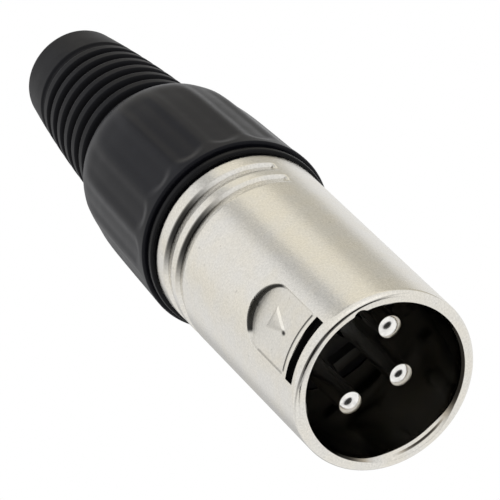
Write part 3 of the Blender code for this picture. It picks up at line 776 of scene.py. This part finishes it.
def shell_points(shell, radius, length):
    """The shell's rows of points, all round its section, and the painted light and shade that they carry."""
    spans = [(-78, 2.5), (-72, 0.75), (-24, 2.5), (24, 0.36)]
    spans += [(36, 2), (48, 0.5), (72, 2.5), (78, 0.75), (180, 2.5)]
    turns = stepped(-180, *spans)[:-1]
    rim = shell.rim_round
    tilts = np.linspace(0, 90, 31)
    arc = np.radians(tilts - 90)
    round_rows = [(radius - rim + rim * math.cos(a), rim + rim * math.sin(a)) for a in arc]
    round_rows.insert(0, (round_rows[0][0] - 0.1 * MM, 0.0))
    spans = [(3.7, 0.055), (5.7, 0.12), (9.5, 0.065), (12.5, 0.055), (25.2, 1.0), (length / MM - 0.3, 0.13)]
    heights = stepped(rim, *((end * MM, step * MM) for end, step in spans))[1:]
    outer_rows = [(radius, height) for height in heights]
    bore, depth, chamber = shell.mating_radius, shell.mating_depth, shell.chamber_radius
    inner_corners = [
        (radius, length, 0.22 * MM),
        (chamber, length, 0.2 * MM),
        (chamber, depth, 0.05 * MM),
        (bore, depth, 0.15 * MM),
        (bore, 7.0 * MM, 0.0),
        (bore, 5.0 * MM, 0.0),
        (bore, 2.5 * MM, 0.0),
        (bore, 1.6 * MM, 0.0),
    ]
    inner_rows = softened([(*outer_rows[-1], 0.0), *inner_corners], 4)[1:]
    lead_in, lead_in_dirt = lead_in_points(turns, shell)
    points = np.concatenate([turned_points(round_rows + outer_rows + inner_rows, turns), lead_in])

    wall = slice(len(round_rows), len(round_rows) + len(outer_rows))
    outer, wall_dirt = shell_outer(turns, heights, shell, radius)
    points[wall, :, :2] *= (outer / radius)[:, :, None]
    dirt = np.zeros(points.shape[:2])
    dirt[wall] = wall_dirt
    dirt[1 : len(round_rows)] = rim_dirt(turns, tilts)
    inner = slice(len(round_rows) + len(outer_rows), None)
    dirt[inner] = bore_dirt(points[inner], shell)
    dirt[-len(lead_in) :] = lead_in_dirt

    near = np.hypot(points[..., 0], points[..., 1])
    angle = np.radians(turns)[None, :] - shell.keyway_turn
    room = shell.keyway_radius**2 - (shell.keyway_place * np.sin(angle)) ** 2
    reach = shell.keyway_place * np.cos(angle) + np.sqrt(np.maximum(room, 0.0))
    is_mating = (near < chamber - 0.02 * MM) & (points[..., 2] < depth + 0.01 * MM)
    in_bore = (room > 0) & (np.cos(angle) > 0) & is_mating
    most = np.where(points[..., 2] > depth - 1.0 * MM, chamber - 0.01 * MM, chamber + 0.14 * MM)
    deeper = np.where(in_bore, np.maximum(near, np.minimum(reach, most)), near)
    points[..., :2] *= (deeper / near)[..., None]
    return points, dirt


class PlugShell(bpy.types.Operator):
    """Make the cast shell with its pocket, arrow, latch slot, keyway and grip grooves"""

    bl_idname = "plug.shell"
    bl_label = "Shell"

    def execute(self, context):
        shell = sizes(context, "plug_shell")
        low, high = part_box("shell")
        radius, length = (high.x - low.x) / 2, high.z
        surface = nickel_finish(context)
        points, dirt = shell_points(shell, radius, length)
        piece = put_in_scene("fine_shell", wrapped("fine_shell", points, dirt=dirt), surface)
        half = shell.latch_half_width
        cut_low = (-half, -radius - MM, shell.slot_start)
        cut_high = (half, -shell.mating_radius / 2, shell.slot_end)
        carved(piece, box_mesh("slot", cut_low, cut_high))
        shaded(piece.data, 62.0)
        hand_over(piece, "plug_body", "shell_nickel", "shell")
        return {"FINISHED"}


# Boot


def dome_radius(boot, height):
    """The dome's radius over its lands: a plain taper that rounds in towards the rear."""
    share = (height - boot.front) / (boot.dome_end - boot.front)
    return boot.front_radius - boot.dome_taper * share - boot.dome_crown * share**boot.dome_power


def tail_radius(boot, height, tail_end):
    """The tail's radius over its ribs."""
    share = (height - boot.dome_end) / (tail_end - boot.dome_end)
    straight = boot.tail_radius + (boot.tail_end_radius - boot.tail_radius) * share
    return straight + 4 * boot.tail_bulge * share * (1 - share)


def boot_outline(boot, tail_end):
    """The boot's outer outline, from its front edge to its end."""
    front, end, rounding = boot.front, boot.dome_end, boot.front_round
    outline = []
    for angle in np.radians(np.linspace(-90, 0, 7))[:-1]:
        height = front + rounding * (1 + math.sin(angle))
        outline.append((boot.front_radius - rounding * (1 - math.cos(angle)), height))
    fine_end = boot.flute_front + 1.7 * MM
    flute_spans = [(fine_end, 0.11 * MM), (end - 4 * MM, 0.9 * MM), (end - boot.dome_edge, 0.27 * MM)]
    for height in stepped(front + rounding, *flute_spans):
        outline.append((dome_radius(boot, height), height))
    edge = outline.pop()
    corners = [
        (*outline[-1], 0.0),
        (*edge, 0.2 * MM),
        (edge[0] - 0.3 * MM, end, 0.25 * MM),
        (boot.tail_radius, end + 0.02 * MM, 0.15 * MM),
        (tail_radius(boot, end + 0.3 * MM, tail_end), end + 0.3 * MM, 0.0),
    ]
    outline += softened(corners)[1:]
    rounding = boot.tail_round
    for height in stepped(end + 0.3 * MM, (tail_end - rounding, 0.11 * MM))[1:]:
        outline.append((tail_radius(boot, height, tail_end), height))
    last = outline[-1][0]
    for angle in np.radians(np.linspace(0, 90, 8))[1:]:
        outline.append((last - rounding * (1 - math.cos(angle)), tail_end - rounding * (1 - math.sin(angle))))
    return outline


def sink_tree(boot, surface):
    """Geometry Nodes that sink the flutes into the dome and the grooves into the tail."""
    inputs = [
        ("Flutes", "NodeSocketInt", boot.flute_count),
        ("Flute depth", "NodeSocketFloat", boot.flute_depth),
        ("Flute front", "NodeSocketFloat", boot.flute_front),
        ("Flute half turn", "NodeSocketFloat", boot.flute_half_turn),
        ("Flute turn", "NodeSocketFloat", math.radians(LATCH_SIDE) + boot.flute_turn),
        ("Flute edge", "NodeSocketFloat", boot.flute_edge),
        ("Flute rear", "NodeSocketFloat", boot.flute_rear),
        ("Flute fade", "NodeSocketFloat", boot.flute_fade),
        ("First groove", "NodeSocketFloat", boot.rib_first),
        ("Groove pitch", "NodeSocketFloat", boot.rib_pitch),
        ("Grooves", "NodeSocketInt", boot.rib_count),
        ("Groove width", "NodeSocketFloat", boot.rib_width),
        ("Groove floor", "NodeSocketFloat", boot.rib_floor),
        ("Groove depth", "NodeSocketFloat", boot.rib_depth),
        ("Last depth", "NodeSocketFloat", boot.rib_last_depth),
    ]
    tree, given, identifiers = geometry_tree("sink_flutes_and_grooves", inputs)
    nodes = Nodes(tree)
    place = nodes.add("GeometryNodeInputPosition")
    x, y, z = nodes.parts(place)
    radius = (x * x + y * y).root()
    on_dome = nodes.add("GeometryNodeInputNamedAttribute", {"data_type": "FLOAT"}, ("on_dome",))
    on_tail = nodes.add("GeometryNodeInputNamedAttribute", {"data_type": "FLOAT"}, ("on_tail",))

    pitch = math.tau / given["Flutes"]
    steps = (y.angle_from(x) - given["Flute turn"]) / pitch
    lateral = (steps - steps.rounded()) * pitch * radius
    half = radius * given["Flute half turn"]
    ahead = (given["Flute front"] + half - z).at_least(0.0)
    inside = half - (lateral * lateral + ahead * ahead).root()
    share = (inside / given["Flute edge"]).ramp(-1.0, 1.0)
    left = ((given["Flute rear"] - z) / given["Flute fade"]).ramp(0.0, 1.0)
    flute = share * left * on_dome * given["Flute depth"]

    number = ((z - given["First groove"]) / given["Groove pitch"]).rounded()
    number = number.at_least(0.0).at_most(given["Grooves"])
    away = abs(z - given["First groove"] - number * given["Groove pitch"])
    wall = (given["Groove width"] - given["Groove floor"]) / 2
    sunk = (1 - (away - given["Groove floor"] / 2) / wall).ramp(0.0, 1.0)
    is_last = (number - given["Grooves"] + 1).at_least(0.0)
    depth = given["Groove depth"] + (given["Last depth"] - given["Groove depth"]) * is_last
    groove = sunk * on_tail * depth

    scale = (radius - flute - groove) / radius
    moved = nodes.add("ShaderNodeCombineXYZ", (), (x * scale, y * scale, z))
    placed = nodes.add("GeometryNodeSetPosition", (), {"Geometry": given["Geometry"], "Position": moved})
    # How deep a point sits in a groove, kept as the mask for the painted shade in the grooves.
    dark = groove / given["Groove depth"]
    sockets = {"Geometry": placed, "Name": "sunk", "Value": dark}
    stored = nodes.add("GeometryNodeStoreNamedAttribute", {"data_type": "FLOAT", "domain": "POINT"}, sockets)
    close_tree(tree, stored, surface)
    return tree, identifiers


class PlugBoot(bpy.types.Operator):
    """Make the boot with its fluted dome and ribbed tail"""

    bl_idname = "plug.boot"
    bl_label = "Boot"

    def execute(self, context):
        boot = sizes(context, "plug_boot")
        tail_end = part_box("boot")[1].z
        nut_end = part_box("boot_nut")[1].z
        bore = 8.3 * MM
        bead_end = nut_end - BEAD_REAR + CLEARANCE
        bead_start = nut_end - BEAD_FRONT - CLEARANCE
        inner = softened(
            [
                (boot.cable_end, tail_end, 0.3 * MM),
                (boot.cable_root, boot.dome_end, 1.0 * MM),
                (boot.cable_root, nut_end + CLEARANCE, 0.2 * MM),
                (bore, nut_end + CLEARANCE, 0.2 * MM),
                (bore, bead_end, 0.0),
                (bore + BEAD_HEIGHT, bead_start, 0.0),
                (bore, bead_start, 0.0),
                (bore, boot.front, 0.15 * MM),
            ]
        )
        outer = boot_outline(boot, tail_end)
        columns = boot.flute_count * 14
        turns = math.degrees(boot.flute_turn) + np.arange(columns) * 360.0 / columns
        points = turned_points(outer + inner, turns)
        is_outer = (np.arange(len(points)) < len(outer))[:, None]
        on_tail = is_outer & (points[..., 2] > boot.dome_end)
        on_dome = is_outer & (points[..., 2] < boot.dome_end)
        mesh = wrapped("fine_boot", points, on_dome=on_dome, on_tail=on_tail)
        piece = put_in_scene("fine_boot", mesh, None)
        surface = boot_finish(context)
        tree, identifiers = sink_tree(boot, surface)
        run_tree(piece, tree, identifiers)
        shaded(piece.data, 50.0)
        hand_over(piece, "boot_body", "boot_black", "boot")
        return {"FINISHED"}


# Nut and threads


class PlugNut(bpy.types.Operator):
    """Make the boot nut with its glossy collar"""

    bl_idname = "plug.nut"
    bl_label = "Boot nut"

    def execute(self, context):
        inner = sizes(context, "plug_inner")
        low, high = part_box("boot_nut")
        shell_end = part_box("shell")[1].z
        collar_front = shell_end + CLEARANCE
        collar_rear = collar_front + 0.9 * MM
        body = inner.collar_radius - 1.9 * MM
        bore = 7.6 * MM
        rear_bore = 5.14 * MM
        cone_front = 29.0 * MM
        cone_rear = 31.0 * MM
        colours = sizes(context, "plug_finishes")
        surface, _, shader, _ = moulded_finish("nut_gloss", tuple(colours.nut), 0.24, 0.5 * MM, 0.002 * MM)
        shader.inputs["Specular IOR Level"].default_value = 0.1
        outline = softened(
            [
                (bore, low.z, 0.2 * MM),
                (SPIGOT_RADIUS, low.z, 0.3 * MM),
                (SPIGOT_RADIUS, collar_front, 0.0),
                (inner.collar_radius, collar_front, inner.collar_round),
                (inner.collar_radius, collar_rear, 0.08 * MM),
                (body, collar_rear, 0.1 * MM),
                (body, high.z - BEAD_FRONT, 0.05 * MM),
                (body + BEAD_HEIGHT, high.z - BEAD_FRONT, 0.1 * MM),
                (body, high.z - BEAD_REAR, 0.1 * MM),
                (body, high.z, 0.3 * MM),
                (rear_bore, high.z, 0.15 * MM),
                (6.9 * MM, cone_rear, 0.2 * MM),
                (bore, cone_front, 0.2 * MM),
            ]
        )
        piece = turned("fine_boot_nut", outline, 128, surface)
        hand_over(piece, "boot_body", "nut_black", "boot_nut")
        return {"FINISHED"}


def thread_tree(surface):
    """Geometry Nodes that wind a thread's ridge along a helix."""
    inputs = [
        ("Radius", "NodeSocketFloat", 0.0),
        ("Start", "NodeSocketFloat", 0.0),
        ("Pitch", "NodeSocketFloat", 0.0),
        ("Turns", "NodeSocketFloat", 0.0),
        ("Ridge", "NodeSocketFloat", 0.0),
    ]
    tree, given, identifiers = geometry_tree("thread_ridge", inputs)
    nodes = Nodes(tree)
    sockets = {
        "Resolution": 64,
        "Rotations": given["Turns"],
        "Start Radius": given["Radius"],
        "End Radius": given["Radius"],
        "Height": given["Turns"] * given["Pitch"],
    }
    helix = nodes.add("GeometryNodeCurveSpiral", (), sockets)
    offset = nodes.add("ShaderNodeCombineXYZ", (), (0.0, 0.0, given["Start"]))
    raised = nodes.add("GeometryNodeSetPosition", (), {"Geometry": helix, "Offset": offset})
    upright = nodes.add("GeometryNodeSetCurveNormal", {"mode": "Z_UP"}, {"Curve": raised})
    section = nodes.add("GeometryNodeCurvePrimitiveCircle", (), {"Resolution": 6, "Radius": given["Ridge"]})
    ridge = nodes.add(
        "GeometryNodeCurveToMesh", (), {"Curve": upright, "Profile Curve": section, "Fill Caps": True}
    )
    close_tree(tree, ridge, surface)
    return tree, list(identifiers)


def wound_thread(name, surface, radius, start, pitch, turns, ridge):
    """A thread's ridge on a helix that rises the right-handed way."""
    piece = put_in_scene(name, bpy.data.meshes.new(name), None)
    tree, identifiers = thread_tree(surface)
    run_tree(piece, tree, dict(zip(identifiers, (radius, start, pitch, turns, ridge))))
    mesh = piece.data
    place = np.array([point.co for point in mesh.vertices])
    angle = np.unwrap(np.arctan2(place[::6, 1], place[::6, 0]))
    rises = place[-1, 2] > place[0, 2]
    if (angle[-1] > angle[0]) != rises:
        place[:, 1] *= -1
        mesh.vertices.foreach_set("co", place.astype(np.float32).ravel())
    shape = bmesh.new()
    shape.from_mesh(mesh)
    bmesh.ops.recalc_face_normals(shape, faces=shape.faces)
    shape.to_mesh(mesh)
    shape.free()
    shaded(mesh)
    return piece


class PlugThreads(bpy.types.Operator):
    """Wind the screw thread on the boot nut and the one inside the shell"""

    bl_idname = "plug.threads"
    bl_label = "Screw threads"

    def execute(self, context):
        inner = sizes(context, "plug_inner")
        low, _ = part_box("boot_nut")
        shell_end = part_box("shell")[1].z
        pitch, ridge = inner.thread_pitch, inner.thread_height
        black = frame_material("fine_boot_nut")
        nickel = frame_material("fine_shell")
        male_start = low.z + 0.4 * MM
        turns = (shell_end - CLEARANCE - male_start) / pitch
        male = wound_thread("nut_thread", black, SPIGOT_RADIUS, male_start, pitch, turns, ridge)
        hand_over(male, "boot_body", "nut_black")
        female_start = male_start - pitch / 2
        shell = sizes(context, "plug_shell")
        turns = (shell_end - 0.4 * MM - female_start) / pitch
        female = wound_thread("shell_thread", nickel, shell.chamber_radius, female_start, pitch, turns, ridge)
        hand_over(female, "plug_body", "shell_nickel")
        return {"FINISHED"}


def frame_material(piece_name):
    """The finish of a piece that is already made."""
    return bpy.data.objects[piece_name].data.materials[0]


# Contacts, insert and chuck


def pin_outline(inner, rear):
    """A pin's outline from its shallow domed nose to its solder cup."""
    radius, tip, crown, shoulder = inner.pin_radius, inner.pin_tip, inner.pin_crown, inner.pin_shoulder
    flat, reach = radius - shoulder, crown - shoulder
    meeting = math.asin(flat / reach)
    centre = tip + crown - reach * math.cos(meeting)
    nose = [(crown * math.sin(a), tip + crown * (1 - math.cos(a))) for a in np.linspace(0, meeting, 14)]
    for angle in np.linspace(meeting, math.pi / 2, 9)[1:]:
        nose.append((flat + shoulder * math.sin(angle), centre - shoulder * math.cos(angle)))
    collar, cup, cup_bore = 1.7 * MM, 1.45 * MM, 1.0 * MM
    collar_rear, cup_rear, cup_floor = rear + 0.8 * MM, rear + CUP_LENGTH, rear + 2.0 * MM
    corners = [
        (*nose[-1], 0.0),
        (radius, rear, 0.0),
        (collar, rear, 0.1 * MM),
        (collar, collar_rear, 0.1 * MM),
        (cup, collar_rear, 0.05 * MM),
        (cup, cup_rear, 0.12 * MM),
        (cup_bore, cup_rear, 0.12 * MM),
        (cup_bore, cup_floor, 0.3 * MM),
        (0.0, cup_floor, 0.0),
    ]
    return nose[:-1] + softened(corners)


class PlugContacts(bpy.types.Operator):
    """Make the 3 turned pins and the bent ground contact"""

    bl_idname = "plug.contacts"
    bl_label = "Contacts"

    def execute(self, context):
        inner = sizes(context, "plug_inner")
        surface = silver_finish(context)
        for name in ("pin_1", "pin_2", "pin_3"):
            low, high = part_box(name)
            middle = (low + high) / 2
            around = math.atan2(middle.y, middle.x)
            rear = high.z - CUP_LENGTH
            piece = turned(f"fine_{name}", pin_outline(inner, rear), 56, surface)
            past = 2.5 * MM
            opening = box_mesh("opening", (0.0, -past, rear + 2.8 * MM), (past, past, rear + 7 * MM))
            carved(piece, opening)
            shaded(piece.data)
            place = np.array([point.co for point in piece.data.vertices])
            cosine, sine = math.cos(around), math.sin(around)
            x = place[:, 0] * cosine - place[:, 1] * sine + inner.pin_circle * cosine
            y = place[:, 0] * sine + place[:, 1] * cosine + inner.pin_circle * sine
            place = np.column_stack([x, y, place[:, 2]])
            piece.data.vertices.foreach_set("co", place.astype(np.float32).ravel())
            piece.data.update()
            hand_over(piece, "plug_body", "contact_silver", name)
        strip = refined("ground_contact", surface, inner.strip_edge)
        hand_over(strip, "plug_body", "contact_silver", "ground_contact")
        return {"FINISHED"}


class PlugInsert(bpy.types.Operator):
    """Finish the moulded insert that carries the contacts"""

    bl_idname = "plug.insert"
    bl_label = "Insert"

    def execute(self, context):
        inner = sizes(context, "plug_inner")
        colours = sizes(context, "plug_finishes")
        surface = moulded_finish("insert_black", tuple(colours.insert), 0.42, 0.25 * MM, 0.006 * MM)[0]
        piece = refined("insert", surface, inner.edge)
        hand_over(piece, "plug_body", "insert_black", "insert")
        return {"FINISHED"}


class PlugChuck(bpy.types.Operator):
    """Finish the split chuck that grips the cable"""

    bl_idname = "plug.chuck"
    bl_label = "Chuck"

    def execute(self, context):
        inner = sizes(context, "plug_inner")
        colours = sizes(context, "plug_finishes")
        surface = moulded_finish("chuck_white", tuple(colours.chuck), 0.45, 0.3 * MM, 0.006 * MM, 0.05)[0]
        piece = refined("chuck", surface, inner.edge)
        hand_over(piece, "chuck_body", "chuck_white", "chuck")
        return {"FINISHED"}


# Studio


def light_studio(context):
    """The world: white behind the object, soft fill, and soft panels with gaps for the metal to show."""
    studio = sizes(context, "plug_studio")
    world = bpy.data.worlds.new("studio")
    world.use_nodes = True
    context.scene.world = world
    tree = world.node_tree
    tree.nodes.clear()
    nodes = Nodes(tree)
    rays = tree.nodes.new("ShaderNodeLightPath")
    is_camera, is_glossy, is_through = (
        Value(rays.outputs[name]) for name in ("Is Camera Ray", "Is Glossy Ray", "Is Transmission Ray")
    )
    way = nodes.add("ShaderNodeTexCoord", (), (), "Generated")
    x, y, z = nodes.parts(way)
    around = y.angle_from(x)
    high = z.ramp(0.2, 0.5)

    def gap(middle, half, soft, depth):
        offset = around - math.radians(middle)
        away = abs(offset.maths("WRAP", offset, math.pi, -math.pi))
        return away.ramp(math.radians(half + soft), math.radians(half)) * high * depth

    gaps = (1 - gap(-47, 6, 8, 0.4)) * (1 - gap(27, 16, 14, 0.37)) * (1 - gap(138, 12, 16, 0.45))
    gaps = gaps * (1 - gap(76, 30, 20, 0.06)) * (1 - gap(-166, 26, 16, 0.08))
    cosine, sine = math.cos(SPOT_TURN), math.sin(SPOT_TURN)
    ahead = (cosine * x + sine * y + 0.15) / 0.26
    beside = (cosine * y - sine * x + 0.05) / 0.39
    spot = (ahead * ahead + beside * beside).ramp(1.25, 0.8) * z.ramp(0.05, -0.05)
    panels = gaps * (1 - 0.98 * spot)
    shown = is_camera.at_least(is_through)
    glossy = is_glossy * (1 - shown)
    level = shown * studio.background + glossy * panels + (1 - shown - glossy) * studio.fill
    warmth = glossy * (gap(7, 36, 12, 1.0) + gap(-138, 12, 12, 0.35))
    tint = nodes.mixed(warmth, (1.0, 1.0, 1.0), tuple(studio.warm))
    background = nodes.add("ShaderNodeBackground", (), {"Color": tint, "Strength": level})
    end = tree.nodes.new("ShaderNodeOutputWorld")
    tree.links.new(background.socket, end.inputs["Surface"])


def add_lamp(name, place, target, size, power):
    """A large soft lamp that points at a place."""
    lamp = bpy.data.lights.new(name, "AREA")
    lamp.shape = "DISK"
    lamp.size = size
    lamp.energy = power
    made = bpy.data.objects.new(name, lamp)
    made.location = place
    made.rotation_euler = (Vector(target) - Vector(place)).to_track_quat("-Z", "Y").to_euler()
    made.visible_camera = False
    made.visible_glossy = False
    bpy.context.scene.collection.objects.link(made)


def floor_finish():
    """Pale floor that only the camera sees, and only from above."""
    made, nodes, shader, place = new_finish("pale_floor")
    tone = grain(nodes, place, 0.05, 3.0)
    link(nodes, nodes.mixed(tone, (0.80, 0.80, 0.80), (0.84, 0.84, 0.84)), shader, "Base Color")
    shader.inputs["Roughness"].default_value = 0.9
    shader.inputs["Specular IOR Level"].default_value = 0.1
    is_camera = nodes.add("ShaderNodeLightPath", (), (), "Is Camera Ray")
    behind = nodes.add("ShaderNodeNewGeometry", (), (), "Backfacing")
    clear = nodes.add("ShaderNodeBsdfTransparent")
    seen = is_camera * (1 - behind)
    mixed = nodes.add("ShaderNodeMixShader", (), (seen, clear, Value(shader.outputs[0])))
    link(nodes, mixed, made.node_tree.nodes["Material Output"], "Surface")
    return made


class PlugStage(bpy.types.Operator):
    """Set the camera, the lamps, the background and the floor"""

    bl_idname = "plug.stage"
    bl_label = "Studio"

    def execute(self, context):
        studio = sizes(context, "plug_studio")
        camera = bpy.data.cameras.new("camera")
        camera.lens = studio.lens
        camera.sensor_width = 36.0
        camera.clip_start = 0.01
        camera.clip_end = 20.0
        eye = bpy.data.objects.new("camera", camera)
        eye.location = (0.107187, -0.271777, -0.370726)
        eye.rotation_euler = [math.radians(angle) for angle in (152.9237, 24.7926, 60.9)]
        context.scene.collection.objects.link(eye)
        context.scene.camera = eye

        middle = (0.0, 0.0, 0.035)
        add_lamp("key_lamp", (-0.15, -0.55, 0.55), middle, 0.5, studio.key_power)
        add_lamp("side_lamp", (0.6, -0.1, 0.35), middle, 0.4, studio.side_power)

        half = 3.0
        corners = [(-half, -half, 0.0), (half, -half, 0.0), (half, half, 0.0), (-half, half, 0.0)]
        mesh = bpy.data.meshes.new("floor")
        mesh.from_pydata(corners, [], [(0, 1, 2, 3)])
        mesh.materials.append(floor_finish())
        floor = bpy.data.objects.new("floor", mesh)
        floor.location.z = -0.05 * MM
        context.scene.collection.objects.link(floor)
        light_studio(context)
        context.scene.view_settings.view_transform = "Standard"
        return {"FINISHED"}


class PlugPanel(bpy.types.Panel):
    """The plug's pieces and their sizes"""

    bl_idname = "VIEW3D_PT_plug"
    bl_label = "XLR plug"
    bl_space_type = "VIEW_3D"
    bl_region_type = "UI"
    bl_category = "Plug"

    def draw(self, context):
        layout = self.layout
        for operator in OPERATORS:
            layout.operator(operator.bl_idname)
        for name in PROPERTY_GROUPS:
            group = getattr(context.scene, name)
            box = layout.box()
            box.label(text=PROPERTY_GROUPS[name].__doc__)
            for key in group.bl_rna.properties.keys():
                if key not in ("rna_type", "name"):
                    box.prop(group, key)


OPERATORS = (PlugShell, PlugBoot, PlugNut, PlugThreads, PlugContacts, PlugInsert, PlugChuck, PlugStage)
PROPERTY_GROUPS = {
    "plug_shell": PlugShellSizes,
    "plug_boot": PlugBootSizes,
    "plug_inner": PlugInnerSizes,
    "plug_finishes": PlugFinishes,
    "plug_studio": PlugStudio,
}


def register():
    for group in PROPERTY_GROUPS.values():
        bpy.utils.register_class(group)
    for operator in OPERATORS:
        bpy.utils.register_class(operator)
    bpy.utils.register_class(PlugPanel)
    for name, group in PROPERTY_GROUPS.items():
        setattr(bpy.types.Scene, name, PointerProperty(type=group))


def unregister():
    for name in PROPERTY_GROUPS:
        delattr(bpy.types.Scene, name)
    bpy.utils.unregister_class(PlugPanel)
    for operator in reversed(OPERATORS):
        bpy.utils.unregister_class(operator)
    for group in reversed(PROPERTY_GROUPS.values()):
        bpy.utils.unregister_class(group)


def main():
    """Make every piece and the studio."""
    register()
    bpy.ops.plug.shell()
    bpy.ops.plug.boot()
    bpy.ops.plug.nut()
    bpy.ops.plug.threads()
    bpy.ops.plug.contacts()
    bpy.ops.plug.insert()
    bpy.ops.plug.chuck()
    bpy.ops.plug.stage()


if __name__ == "__main__":
    main()
